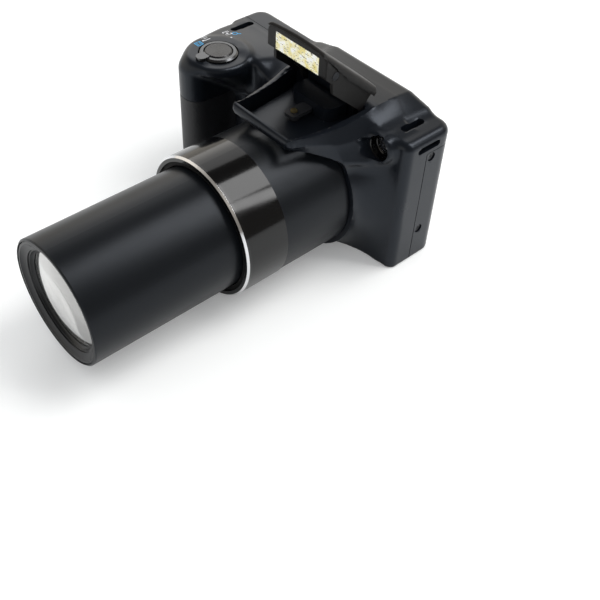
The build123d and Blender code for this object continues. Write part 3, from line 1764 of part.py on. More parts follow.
with BuildPart() as door_latch:
    block(
        (latch_start_x, latch_start_x + latch_width),
        (latch_y - latch_length / 2, latch_y + latch_length / 2),
        (0, latch_depth),
    )
    for step in range(latch_grooves):
        groove_x = latch_start_x + latch_width * (step + 1) / (latch_grooves + 1)
        block(
            (groove_x - latch_groove_width / 2, groove_x + latch_groove_width / 2),
            (latch_y - latch_length / 2 + latch_groove_inset, latch_y + latch_length / 2 - latch_groove_inset),
            (-overrun, latch_groove_depth),
            mode=Mode.SUBTRACT,
        )
door_latch.part.label = "door_latch"
export_step(door_latch.part, "parts/door_latch.step")

# Terminal cover and socket

with BuildPart() as terminal_cover:
    add(outer_form.part)
    with BuildSketch(Plane.YZ.offset(-half_width - overrun)) as cover_face:
        with BuildLine():
            FilletPolyline(
                (terminal_axis[1], terminal_bottom_z),
                (terminal_axis[1], terminal_top_z),
                (terminal_front_y, terminal_top_z),
                (terminal_front_y, terminal_bottom_z),
                radius=(0, 0, terminal_radius, terminal_radius),
                close=True,
            )
        make_face()
    extrude(cover_face.sketch, amount=terminal_thickness + overrun, mode=Mode.INTERSECT)
    post(
        Plane.XY.offset(terminal_bottom_z),
        terminal_axis,
        terminal_barrel_radius,
        terminal_top_z - terminal_bottom_z,
    )
    post(
        Plane.XY.offset(terminal_bottom_z - terminal_stub_length),
        terminal_axis,
        terminal_stub_radius,
        terminal_top_z - terminal_bottom_z + terminal_stub_length * 2,
    )
terminal_cover.part.label = "terminal_cover"
export_step(terminal_cover.part, "parts/terminal_cover.step")

with BuildPart() as terminal_socket:
    socket_left_x = -half_width + terminal_thickness + fit_gap
    for inset, mode in ((0, Mode.ADD), (socket_wall, Mode.SUBTRACT)):
        block(
            (socket_left_x - inset, socket_left_x + socket_depth - inset),
            (socket_y - socket_width / 2 + inset, socket_y + socket_width / 2 - inset),
            (socket_z - socket_height / 2 + inset, socket_z + socket_height / 2 - inset),
            mode=mode,
        )
terminal_socket.part.label = "terminal_socket"
export_step(terminal_socket.part, "parts/terminal_socket.step")
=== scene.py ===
# %% [markdown]
# A bridge camera stands on a pale table with its zoom lens run out and its flash raised. The solids come
# from CAD, packed as one model with its moving bodies. This notebook loads them, gives each surface the
# finish of the real material, and adds what is too small or too soft for CAD: the flowing skin of the body,
# the ribs of the flash window with a painted reflection of the reflector behind them, the printed marks, the
# coating of the lens and the crosses in the screws, whose shade is painted as flat dark crosses.

import math

import bmesh
import bpy
import numpy as np
from mathutils import Matrix, Vector


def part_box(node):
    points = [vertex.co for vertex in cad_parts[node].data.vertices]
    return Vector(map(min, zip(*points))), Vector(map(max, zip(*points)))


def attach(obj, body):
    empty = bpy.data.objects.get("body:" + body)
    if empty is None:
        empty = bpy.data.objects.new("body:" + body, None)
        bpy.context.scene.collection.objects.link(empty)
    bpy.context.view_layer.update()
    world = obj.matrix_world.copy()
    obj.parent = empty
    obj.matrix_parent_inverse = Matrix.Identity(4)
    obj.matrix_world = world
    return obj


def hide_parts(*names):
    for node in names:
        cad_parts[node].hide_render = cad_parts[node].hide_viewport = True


MM = 0.001
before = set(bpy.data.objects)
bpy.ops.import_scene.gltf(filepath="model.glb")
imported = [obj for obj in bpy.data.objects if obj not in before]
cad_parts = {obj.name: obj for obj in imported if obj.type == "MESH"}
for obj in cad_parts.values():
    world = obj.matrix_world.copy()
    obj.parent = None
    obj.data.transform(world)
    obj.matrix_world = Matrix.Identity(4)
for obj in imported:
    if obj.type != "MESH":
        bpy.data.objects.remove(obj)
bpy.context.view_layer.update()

# %% [markdown]
# The picture is taken from the lens side, above and to the right. The camera stands at one point, and its
# azimuth, elevation and roll say where it looks, as a photographer would note them down.

# %% Place the viewing camera
EYE = Vector((0.2046, -0.2062, 0.2376))
AZIMUTH, ELEVATION, ROLL = (math.radians(turn) for turn in (45.41, 46.13, 3.67))
FOCAL_LENGTH, SENSOR_WIDTH, NEAREST = 53.62, 36.0, 0.01
LENS_MIDDLE = Vector((0.012, -0.06, 0.03))

flat_reach = math.cos(ELEVATION)
level_right = Vector((math.cos(AZIMUTH), math.sin(AZIMUTH), 0))
back = Vector((math.sin(AZIMUTH) * flat_reach, -math.cos(AZIMUTH) * flat_reach, math.sin(ELEVATION)))
level_up = back.cross(level_right)
right = level_right * math.cos(ROLL) + level_up * math.sin(ROLL)
up = back.cross(right)
view = bpy.data.cameras.new("view")
view.lens = FOCAL_LENGTH
view.sensor_width = SENSOR_WIDTH
view.clip_start = NEAREST
viewer = bpy.data.objects.new("view", view)
viewer.matrix_world = Matrix.Translation(EYE) @ Matrix((right, up, back)).transposed().to_4x4()
bpy.context.scene.collection.objects.link(viewer)
bpy.context.scene.camera = viewer
bpy.context.scene.view_settings.view_transform = "Standard"
print("viewing distance:", round((EYE - LENS_MIDDLE).length, 3), "m")

# %% [markdown]
# Colours are noted as sRGB hex values, the way a paint or plastic sample is read on a screen. The shader
# works in linear light, so one function converts them. A second small function adds a node, sets it up
# and wires it, which keeps each material short.

# %% Colour and node helpers
def linear(code, alpha=1.0):
    """The linear colour of an sRGB hex value."""
    channels = [int(code[step : step + 2], 16) / 255 for step in (1, 3, 5)]
    shade = [c / 12.92 if c <= 0.04045 else ((c + 0.055) / 1.055) ** 2.4 for c in channels]
    return (*shade, alpha)


def add(tree, kind, settings=None, links=None):
    """A node of a kind, set up by attribute or socket name, with its inputs wired by socket name."""
    node = tree.nodes.new(kind)
    for name, value in (settings or {}).items():
        if isinstance(name, str) and hasattr(node, name) and name not in node.inputs:
            setattr(node, name, value)
        else:
            node.inputs[name].default_value = value
    for name, source in (links or {}).items():
        tree.links.new(source, node.inputs[name])
    return node


def surface(name, color, roughness, **sockets):
    """A material with one Principled surface, and its tree and shader for further wiring."""
    made = bpy.data.materials.new(name)
    made.use_nodes = True
    tree = made.node_tree
    shader = tree.nodes["Principled BSDF"]
    shader.inputs["Base Color"].default_value = linear(color)
    shader.inputs["Roughness"].default_value = roughness
    for socket, value in sockets.items():
        shader.inputs[socket.replace("_", " ")].default_value = value
    return made, tree, shader


def dress(node, material):
    """Gives a CAD node one material."""
    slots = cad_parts[node].data.materials
    slots.clear()
    slots.append(material)


print("black plastic in linear light:", [round(shade, 4) for shade in linear("#111419")[:3]])

# %% [markdown]
# The body of such a camera is moulded in flowing plastic: the hump, the collar round the lens, the raised
# disc under the shutter button and the grip run into each other with no edge between. Boxes and fillets
# can't give that. Here each form is a distance, in millimetres, from any point to its surface, negative
# inside. The smaller of two distances joins two forms, and a rounded smaller-of fills the corner between
# them, as a mould maker's putty would. The solids from CAD keep the fits, and this skin takes their place.

# %% Distances and how they join
def merge(a, b, reach):
    """Two forms as one, with the corner between them filled over a reach."""
    near = np.maximum(reach - np.abs(a - b), 0) / reach
    return np.minimum(a, b) - near * near * reach / 4


def carve(a, b, reach=0.0):
    """A form with another taken out, its rim rounded over a reach."""
    return -merge(-a, b, reach) if reach else np.maximum(a, -b)


def rounded(a, b, radius):
    """The part that two forms share, with a round edge where they meet."""
    beyond = np.sqrt(np.maximum(a + radius, 0) ** 2 + np.maximum(b + radius, 0) ** 2)
    return beyond + np.minimum(np.maximum(a + radius, b + radius), 0) - radius


def slab(value, low, high):
    """The room between two planes."""
    return np.maximum(low - value, value - high)


def box(x, y, z, reach_x, reach_y, reach_z):
    """A box between two values on each axis."""
    return np.maximum(np.maximum(slab(x, *reach_x), slab(y, *reach_y)), slab(z, *reach_z))


def rod(u, v, place, radius):
    """An endless rod of a radius, seen along its length."""
    return np.hypot(u - place[0], v - place[1]) - radius


def slot_shape(u, v, place, length, width):
    """An endless slot with round ends, seen along its depth, its length along v."""
    straight = (length - width) / 2
    off = np.abs(v - place[1]) - straight
    return np.hypot(u - place[0], np.maximum(off, 0)) - width / 2


def soft_corners(points, radii, steps=8):
    """A closed outline with each corner turned on its own radius."""
    made = []
    for index, (corner, radius) in enumerate(zip(points, radii)):
        here = np.array(corner, float)
        before = np.array(points[index - 1], float) - here
        after = np.array(points[(index + 1) % len(points)], float) - here
        before /= np.linalg.norm(before)
        after /= np.linalg.norm(after)
        half = math.acos(np.clip(before @ after, -1, 1)) / 2
        if radius == 0:
            made.append(tuple(here))
            continue
        middle = here + (before + after) / np.linalg.norm(before + after) * radius / math.sin(half)
        start = here + before * radius / math.tan(half) - middle
        end = here + after * radius / math.tan(half) - middle
        sweep = math.pi - 2 * half
        for step in range(steps + 1):
            share = step / steps
            arm = (math.sin((1 - share) * sweep) * start + math.sin(share * sweep) * end) / math.sin(sweep)
            made.append(tuple(middle + arm))
    return made


def outline(u, v, corners):
    """The distance in a plane to a closed outline. A corner may be a number or an array."""
    shape = np.broadcast(u, v, corners[0][0]).shape
    nearest = np.full(shape, np.inf)
    inside = np.zeros(shape, bool)
    for (u0, v0), (u1, v1) in zip(corners, corners[1:] + corners[:1]):
        run_u, run_v = u1 - u0, v1 - v0
        share = np.clip(((u - u0) * run_u + (v - v0) * run_v) / (run_u**2 + run_v**2), 0, 1)
        nearest = np.minimum(nearest, (u - u0 - share * run_u) ** 2 + (v - v0 - share * run_v) ** 2)
        side = (u - u0) * run_v < run_u * (v - v0)
        inside ^= ((v0 > v) != (v1 > v)) & (side == (v1 > v0))
    return np.where(inside, -1.0, 1.0) * np.sqrt(nearest)


print("the putty in a square corner, 3 mm wide, is", round(-float(merge(0.0, 0.0, 3.0)), 2), "mm thick")

# %% [markdown]
# The sizes are those of the camera itself, in millimetres: 104.4 wide, 57 to the shoulders, with the lens
# axis 12 right of the middle and 27.2 above the base. The hump over the lens is a row of cross sections.
# A fillet here is the reach over which two forms run into each other, and a round is that of one form's edge.

# %% Outer form
HALF_WIDTH, SHOULDER_Z, BACK_Y = 52.2, 57.0, 15.0
LENS_X, LENS_Z = 12.0, 27.2
GRIP_ROOT = (-29.8, -16.3)
BLOCK = soft_corners(
    [(HALF_WIDTH, BACK_Y), (-HALF_WIDTH, BACK_Y), (-HALF_WIDTH, -2.0), GRIP_ROOT, (HALF_WIDTH, -8.6)],
    [5.6, 5.6, 3.4, 3.4, 3.4],
)
GRIP = soft_corners(
    [
        (-51.7, 5.5), (-HALF_WIDTH, -8.5), (-48.9, -26.5), (-40.7, -37.4),
        (-30.6, -37.4), GRIP_ROOT, (-15.0, -14.38), (-15.0, 5.5),
    ],
    [0, 28.0, 16.0, 7.5, 6.0, 7.0, 0, 0],
)
TOP_ROUND, GRIP_ROUND, FOOT_ROUND, GRIP_FILLET = 3.0, 4.6, 1.0, 0.6
SHUTTER, POWER = (-33.8, -22.6), (-19.8, -1.2)
SWELL_REACH, SWELL_RUN = 25.0, 14.5
DAIS_RADIUS, DAIS_TOP_Z, DAIS_FOOT_Z, DAIS_ROUND, DAIS_FILLET = 12.2, 57.9, 42.6, 1.6, 3.0
CHIN_TOP_Z, CHIN_DROP, CHIN_TAPER, CHIN_EASE = 55.0, 12.5, 7.7, 0.75
CHIN_MOVE = (4.3, 10.6)
LAMP, LAMP_FRONT_Y, LAMP_BORE = (40.9, 52.2), -11.9, 4.7
LAMP_BOSS, BOSS_TOP_Z, BOSS_ROUND, BOSS_FILLET = 5.8, 57.3, 1.2, 2.4
TEAR_TIP, TEAR_TIP_RADIUS = (35.4, 54.4), 0.5
THUMB, THUMB_HALF, THUMB_PROUD, THUMB_ROOT_Y = (-41.8, 44.6), (7.0, 8.5), 1.7, 13.0
THUMB_SLOPE, THUMB_ROUND, THUMB_FILLET = 2.6, 2.4, 1.5
GROOVE_Y = -20.5
COLLAR_ROOT_Y, COLLAR_TOP_Z, COLLAR_EASE, COLLAR_FILLET = -8.0, 55.6, 0.8, 3.0
COLLAR_ROOT_RADIUS, COLLAR_LIP_RADIUS, COLLAR_SAG = 37.5, 28.5, 2.6
HUMP_FRONT_Y, HUMP_FILLET, HUMP_FRONT_ROUND, HUMP_BACK_ROUND, HUMP_SKIN = -41.6, 6.5, 1.2, 3.0, 0.9
# Each station of the hump: place along Y, half widths at foot, shoulder and rail, heights of the same three
HUMP = np.array(
    [
        (-41.6, 13.2, 15.3, 14.6, 56.2, 58.0, 60.5),
        (-38.5, 14.2, 15.9, 15.0, 55.2, 57.4, 59.8),
        (-33.0, 16.6, 17.5, 16.5, 53.2, 56.2, 59.2),
        (-22.0, 22.8, 21.2, 18.8, 47.5, 54.0, 59.1),
        (-13.0, 26.8, 23.8, 20.2, 46.0, 55.2, 60.4),
        (-7.0, 28.0, 24.4, 20.2, 46.0, 56.2, 62.3),
        (4.0, 29.8, 25.6, 19.6, 46.0, 56.6, 61.4),
        (BACK_Y, 31.0, 27.0, 19.0, 46.0, 56.6, 59.6),
    ]
)
HUMP_EASE = (-3.0, -1.5, 0.0, 1.5, 3.0)
VALLEY_X, VALLEY_Z, VALLEY_RADIUS, VALLEY_FILLET = -12.6, 67.4, 9.0, 2.5
VALLEY_RISE, VALLEY_FALL, RAIL_SPARE = 0.965, 0.2605, 0.3


def swell(x, y):
    """How far the top rises towards the disc under the shutter button."""
    share = np.clip((SWELL_REACH - np.hypot(x - SHUTTER[0], y - SHUTTER[1])) / SWELL_RUN, 0, 1)
    return (DAIS_TOP_Z - SHOULDER_Z) * share * share * (3 - 2 * share)


def standing(across, z, top_z, top_radius):
    """A plan outline stood up on the base, with a round top edge and a small round at the foot."""
    return np.maximum(rounded(across, z - top_z, top_radius), rounded(across, -z, FOOT_ROUND))


def hump_values(y, *columns):
    """Sizes of the hump at a place along it, eased from station to station."""
    near = [y + step for step in HUMP_EASE]
    return [sum(np.interp(place, HUMP[:, 0], HUMP[:, k]) for place in near) / len(near) for k in columns]


def hump_distance(x, y, z):
    """The hump over the lens, its cross section eased from station to station."""
    foot, shoulder, rail, foot_z, shoulder_z, rail_z = hump_values(y, 1, 2, 3, 4, 5, 6)
    right_side = [(rail, rail_z), (shoulder, shoulder_z), (foot, foot_z)]
    left_side = [(-half, height) for half, height in reversed(right_side)]
    section = outline(np.abs(x - LENS_X), z, right_side + left_side)
    front = rounded(section + HUMP_SKIN, HUMP_FRONT_Y - y + HUMP_SKIN, HUMP_FRONT_ROUND) - HUMP_SKIN
    return rounded(front, y - BACK_Y, HUMP_BACK_ROUND)


def valley_distance(x, y, z):
    """The scoop between the hump and the disc under the shutter button, kept off the hump's rail."""
    scoop = np.hypot(x - VALLEY_X, (z - VALLEY_Z) * VALLEY_RISE - VALLEY_FALL * y) - VALLEY_RADIUS
    return np.maximum(scoop, x - LENS_X + hump_values(y, 3)[0] + RAIL_SPARE)


def tear_distance(x, z):
    """The outline of the hollow round the assist lamp: a drop with its tip beside the lens."""
    run = np.subtract(TEAR_TIP, LAMP)
    share = np.clip(((x - LAMP[0]) * run[0] + (z - LAMP[1]) * run[1]) / (run @ run), 0, 1)
    radius = LAMP_BORE + (TEAR_TIP_RADIUS - LAMP_BORE) * share
    return np.hypot(x - LAMP[0] - run[0] * share, z - LAMP[1] - run[1] * share) - radius


def outer_distance(x, y, z):
    """The outside of the body before anything is cut from it."""
    top_z = SHOULDER_Z + swell(x, y)
    block = standing(outline(x, y, BLOCK), z, top_z, TOP_ROUND)
    grip = standing(outline(x, y, GRIP), z, top_z, GRIP_ROUND)
    body = merge(block, grip, GRIP_FILLET)
    share = np.clip((COLLAR_ROOT_Y - y) / (COLLAR_ROOT_Y - GROOVE_Y), 0, 1)
    sag = 4 * COLLAR_SAG * share * (1 - share)
    flare = COLLAR_ROOT_RADIUS + (COLLAR_LIP_RADIUS - COLLAR_ROOT_RADIUS) * share - sag
    collar = np.maximum((np.hypot(x - LENS_X, z - LENS_Z) - flare) * COLLAR_EASE, GROOVE_Y - y)
    collar = np.maximum(np.maximum(collar, z - COLLAR_TOP_Z), y)
    body = merge(body, collar, COLLAR_FILLET)
    body = merge(body, hump_distance(x, y, z), HUMP_FILLET)
    boss = rounded(rod(x, z, LAMP, LAMP_BOSS), LAMP_FRONT_Y - y, BOSS_ROUND)
    boss = rounded(boss, z - BOSS_TOP_Z, BOSS_ROUND)
    body = merge(body, np.maximum(boss, y), BOSS_FILLET)
    dais = rounded(rod(x, y, SHUTTER, DAIS_RADIUS), z - DAIS_TOP_Z, DAIS_ROUND)
    lean = np.clip((CHIN_TOP_Z - z) / CHIN_DROP, 0, 1)
    chin = np.hypot(x - SHUTTER[0] - CHIN_MOVE[0] * lean, y - SHUTTER[1] - CHIN_MOVE[1] * lean)
    chin = (chin - DAIS_RADIUS + CHIN_TAPER * lean) * CHIN_EASE
    body = merge(body, np.maximum(np.maximum(dais, chin), DAIS_FOOT_Z - z), DAIS_FILLET)
    body = carve(body, valley_distance(x, y, z), VALLEY_FILLET)
    thumb = np.maximum(np.abs(x - THUMB[0]) - THUMB_HALF[0], np.abs(z - THUMB[1]) - THUMB_HALF[1])
    pad = rounded(thumb + THUMB_SLOPE, y - BACK_Y - THUMB_PROUD, THUMB_ROUND)
    body = np.maximum(body, y - BACK_Y)
    body = merge(body, np.maximum(pad, THUMB_ROOT_Y - y), THUMB_FILLET)
    return np.maximum(body, -z)


print("outline corners:", len(BLOCK), "body and", len(GRIP), "grip")

# %% [markdown]
# Everything that is let into the body is cut with a crisp rim: the hole for the lens, the well that the
# flash folds into, the strap slots, the seats of the buttons, the screen, the doors and the screws. A round
# seat is noted by its place, its radius and the height of its floor. Those in the back are equally deep.

# %% Openings
LENS_HOLE, BARREL_HOLE, BARREL_FOOT_Y = 27.05, 25.45, 1.7
WELL_HALVES, ISLAND_HALVES, WELL_ENDS_Y = (13.9, 18.0), (11.3, 15.4), (-39.6, -7.8)
WELL_FLOOR_Z, CHANNEL_Z = 54.9, 52.2
ARM_MIDDLE, ARM_SLOT_HALF, ARM_SLOT_Y, ARM_SLOT_Z = 13.2, 1.15, (-12.0, -0.05), (53.1, 61.0)
FOLDED = math.radians(-4.5)
HINGE_Y, HINGE_Z = -2.4, 57.0
COVER_TOP, COVER_SHEET, COVER_GAP = 8.4, 1.3, 0.35
COVER_FRONT, COVER_BACK, COVER_LENGTH = -36.6, -4.6, 32.0
COVER_FRONT_HALF, COVER_BACK_HALF, COVER_SPREAD = 14.5, 18.3, 3.8
COVER_DROP, COVER_BOW = 0.9, 1.7
WING, WING_START, WING_RUN = 1.7, -34.0, 12.0
COVER_SEAT = (14.85, 18.65, -36.95, -4.25)
STRAP_SLOTS = ((43.4, 2.2, 1), (-44.7, -2.1, -1))
SLOT_LENGTH, SLOT_WIDTH, SLOT_FLOOR_Z, SIDE_SLOT_WIDTH, SIDE_SLOT_Z = 11.0, 2.8, 51.6, 2.4, 52.8
BORE_FOOT_Y, TEAR_DEPTH = -5.0, 0.7
BAY_ROOF_Z, SCREW_RADIUS, SCREW_DEPTH, SIDE_SCREW_FACE_X = 3.7, 1.75, 1.4, 50.8
BASE_SCREWS = ((47.0, -5.5), (45.0, 10.5), (-24.5, -13.2), (-24.5, 11.5))
SIDE_SCREW_Y, SIDE_SCREW_HEIGHTS = 4.3, (14.2, 47.8)
SPEAKER, SPEAKER_CIRCLE, SPEAKER_HOLES = (42.0, -1.5), 2.4, 6
TOP_SEATS = ((SHUTTER, 7.65, 56.65), (SHUTTER, 6.55, 52.9), (SHUTTER, 2.0, 48.5), (POWER, 3.65, 44.0))
BASE_SEATS = [((-21.6, -1.0), 4.75, BAY_ROOF_Z)]
BASE_SEATS += [(place, SCREW_RADIUS, SCREW_DEPTH) for place in BASE_SCREWS]
for step in range(SPEAKER_HOLES):
    turn = math.radians(60 * step)
    hole = (SPEAKER[0] + SPEAKER_CIRCLE * math.cos(turn), SPEAKER[1] + SPEAKER_CIRCLE * math.sin(turn))
    BASE_SEATS.append((hole, 0.5, BAY_ROOF_Z))
BACK_SEATS = (
    ((-33.0, 22.5), 9.55), ((-22.4, 44.0), 2.95), ((-20.6, 33.6), 2.95),
    ((-41.0, 9.0), 2.95), ((-44.6, 31.6), 2.95),
)
BACK_SEAT_Y = 11.2
SCREEN, SCREEN_HALF, SCREEN_ROUND, SCREEN_DEPTH, SCREEN_FRAME = (16.6, 26.6), (30.75, 22.25), 1.6, 0.85, 2.2
BATTERY_BAY_X, BATTERY_BAY_Y = (-45.45, -31.4), (-26.25, 10.45)
PORT = ((-55.0, -48.4), (-9.85, -0.35), (17.75, 37.25))
PINHOLE, PINHOLE_RADIUS, PINHOLE_FLOOR_Z = (LENS_X + 1.0, -1.2), 0.45, 60.0
SKIN_TOP_Z, SKIN_FOOT_Z, SKIN_DEPTH, SKIN_END_X, SKIN_END_Y = 42.4, 1.7, 0.9, -28.9, -10.5


def hinge_plane(y, z, turn):
    """Places along the flash head and out of it, turned about its hinge."""
    along = (y - HINGE_Y) * math.cos(turn) - (z - HINGE_Z) * math.sin(turn)
    out = (y - HINGE_Y) * math.sin(turn) + (z - HINGE_Z) * math.cos(turn)
    return along, out


def cover_form(across, along):
    """Half width of the flash cover, height of its crown and of its underside, at a place along it."""
    half = COVER_FRONT_HALF + COVER_SPREAD * (along - COVER_FRONT) / COVER_LENGTH
    share = across / half
    top = COVER_TOP - COVER_DROP * share**2
    wing = WING * np.clip(share, 0, 1) ** 3 * np.clip((along - WING_START) / WING_RUN, 0, 1)
    return half, top, top - COVER_SHEET - wing


def trapezoid(x, y, front, back, front_y, back_y):
    """The room between two sides that spread from a front half width to a back one."""
    half = front + (back - front) * (y - front_y) / (back_y - front_y)
    return np.maximum(np.abs(x - LENS_X) - half, slab(y, front_y, back_y))


def openings(x, y, z):
    """Everything cut from the body, as one distance."""
    from_axis = np.hypot(x - LENS_X, z - LENS_Z)
    well = trapezoid(x, y, *WELL_HALVES, *WELL_ENDS_Y)
    island = trapezoid(x, y, *ISLAND_HALVES, *WELL_ENDS_Y)
    along, rise = hinge_plane(y, z, FOLDED)
    bow = COVER_BACK - COVER_BOW * ((x - LENS_X) / COVER_BACK_HALF) ** 2
    cover = np.maximum(trapezoid(x, along, *COVER_SEAT), along - bow - COVER_GAP)
    under = cover_form(np.abs(x - LENS_X), along)[2]
    screen = np.abs(x - SCREEN[0]) - SCREEN_HALF[0]
    screen = rounded(screen, np.abs(z - SCREEN[1]) - SCREEN_HALF[1], SCREEN_ROUND)
    grip = outline(x, y, GRIP)
    skin = np.maximum(np.maximum(grip, x - SKIN_END_X), y - SKIN_END_Y)
    # Each pair is the outline of an opening, and where it ends
    pairs = [
        (from_axis - LENS_HOLE, y - GROOVE_Y),
        (from_axis - BARREL_HOLE, y - BARREL_FOOT_Y),
        (well, WELL_FLOOR_Z - z),
        (np.maximum(well, -island), CHANNEL_Z - z),
        (cover, under - COVER_GAP - rise),
        (rod(x, z, LAMP, LAMP_BORE), y - BORE_FOOT_Y),
        (tear_distance(x, z), y - LAMP_FRONT_Y - TEAR_DEPTH),
        (screen, BACK_Y - SCREEN_DEPTH - y),
        (screen + SCREEN_FRAME, BACK_SEAT_Y - y),
        (np.maximum(slab(x, *BATTERY_BAY_X), slab(y, *BATTERY_BAY_Y)), z - BAY_ROOF_Z),
        (rod(x, y, PINHOLE, PINHOLE_RADIUS), PINHOLE_FLOOR_Z - z),
        (np.maximum(skin, -grip - SKIN_DEPTH), slab(z, SKIN_FOOT_Z, SKIN_TOP_Z)),
    ]
    pairs += [(rod(x, y, place, radius), floor_z - z) for place, radius, floor_z in TOP_SEATS]
    pairs += [(rod(x, y, place, radius), z - roof_z) for place, radius, roof_z in BASE_SEATS]
    pairs += [(rod(x, z, place, radius), BACK_SEAT_Y - y) for place, radius in BACK_SEATS]
    for height in SIDE_SCREW_HEIGHTS:
        pairs.append((rod(y, z, (SIDE_SCREW_Y, height), SCREW_RADIUS), SIDE_SCREW_FACE_X - x))
    for x_slot, y_slot, out in STRAP_SLOTS:
        pairs.append((slot_shape(x, y, (x_slot, y_slot), SLOT_LENGTH, SLOT_WIDTH), SLOT_FLOOR_Z - z))
        side_slot = slot_shape(z, y, (SIDE_SLOT_Z, y_slot), SLOT_LENGTH, SIDE_SLOT_WIDTH)
        pairs.append((side_slot, out * (x_slot - x)))
    cuts = [np.maximum(*pair) for pair in pairs]
    cuts.append(box(x, y, z, *PORT))
    for middle in (LENS_X - ARM_MIDDLE, LENS_X + ARM_MIDDLE):
        cuts.append(box(x, y, z, (middle - ARM_SLOT_HALF, middle + ARM_SLOT_HALF), ARM_SLOT_Y, ARM_SLOT_Z))
    return np.minimum.reduce([np.broadcast_to(c, np.broadcast(x, y, z).shape) for c in cuts])


print("seats in the top, the base and the back:", len(TOP_SEATS), len(BASE_SEATS), len(BACK_SEATS))

# %% [markdown]
# A moulding is a shell with walls of even thickness, so the inside is the same outlines again, moved in by
# the wall. Blocks of plastic stay round the strap slots and under the flash well, as in the real part.

# %% Hollow and seams
WALL, BASE_WALL, GRIP_ROOM_Z = 1.8, 1.7, 50.5
STRAP_BLOCK_X, STRAP_BLOCK_HALF, STRAP_BLOCK_Z = 39.2, 8.5, 48.6
WELL_BLOCK = ((-7.4, 31.4), (-60.0, 1.6), (51.0, 80.0))
SEAM_Y, PLATE_SEAM_X, PLATE_SEAM_Y = 1.7, -8.0, 4.4
BACK_SEAM_Z, SEAM_LAP, HALF_SEAM = 50.0, 0.3, 0.1


def hollow(x, y, z):
    """The room inside the body."""
    block = np.maximum(outline(x, y, BLOCK) + WALL, slab(z, BASE_WALL, SHOULDER_Z - WALL))
    grip = np.maximum(outline(x, y, GRIP) + WALL, slab(z, BASE_WALL, GRIP_ROOM_Z))
    room = np.maximum(np.minimum(block, grip), -valley_distance(x, y, z) + WALL)
    for _, middle, out in STRAP_SLOTS:
        strap = np.maximum(STRAP_BLOCK_X - out * x, np.abs(y - middle) - STRAP_BLOCK_HALF)
        room = np.maximum(room, -np.maximum(strap, STRAP_BLOCK_Z - z))
    return np.maximum(room, -box(x, y, z, *WELL_BLOCK))


def body_distance(x, y, z):
    """The finished moulding, before it is parted into its shells."""
    shell = carve(outer_distance(x, y, z), hollow(x, y, z))
    return carve(shell, openings(x, y, z))


def rear_room(x, y, z):
    """The side of the seams that belongs to the rear shell."""
    back = np.maximum(SEAM_Y + HALF_SEAM - y, z - BACK_SEAM_Z + HALF_SEAM)
    strip = np.maximum(x - PLATE_SEAM_X + HALF_SEAM, PLATE_SEAM_Y + HALF_SEAM - y)
    return np.minimum(back, np.maximum(strip, BACK_SEAM_Z - z - SEAM_LAP))


def behind_seam(y, z):
    """The room behind the seam round the back, with the gap itself."""
    return np.maximum(SEAM_Y - HALF_SEAM - y, z - BACK_SEAM_Z - HALF_SEAM)


def plate_room(x, y, z):
    """The side of the seams that belongs to the top plate over the grip."""
    above = np.maximum(SKIN_TOP_Z + HALF_SEAM * 2 - z, x - PLATE_SEAM_X + HALF_SEAM)
    above = np.maximum(above, y - PLATE_SEAM_Y + HALF_SEAM)
    return np.maximum(above, -behind_seam(y, z))


def front_room(x, y, z):
    """What is left for the front shell."""
    over_grip = np.maximum(SKIN_TOP_Z - z, x - PLATE_SEAM_X - HALF_SEAM)
    return np.maximum(-behind_seam(y, z), -over_grip)


print("three shells, parted at y", SEAM_Y, "and over the grip at x", PLATE_SEAM_X)

# %% [markdown]
# A distance is turned into a mesh by dual contouring. Space is cut into small cells. Where an edge of a
# cell passes through the surface, the crossing and the surface's direction there are noted, and each cell
# puts one vertex where the planes of its crossings meet, which keeps flat faces flat and edges sharp.

# %% From distance to mesh
GRADIENT_STEP = 0.04
PULL = 0.04


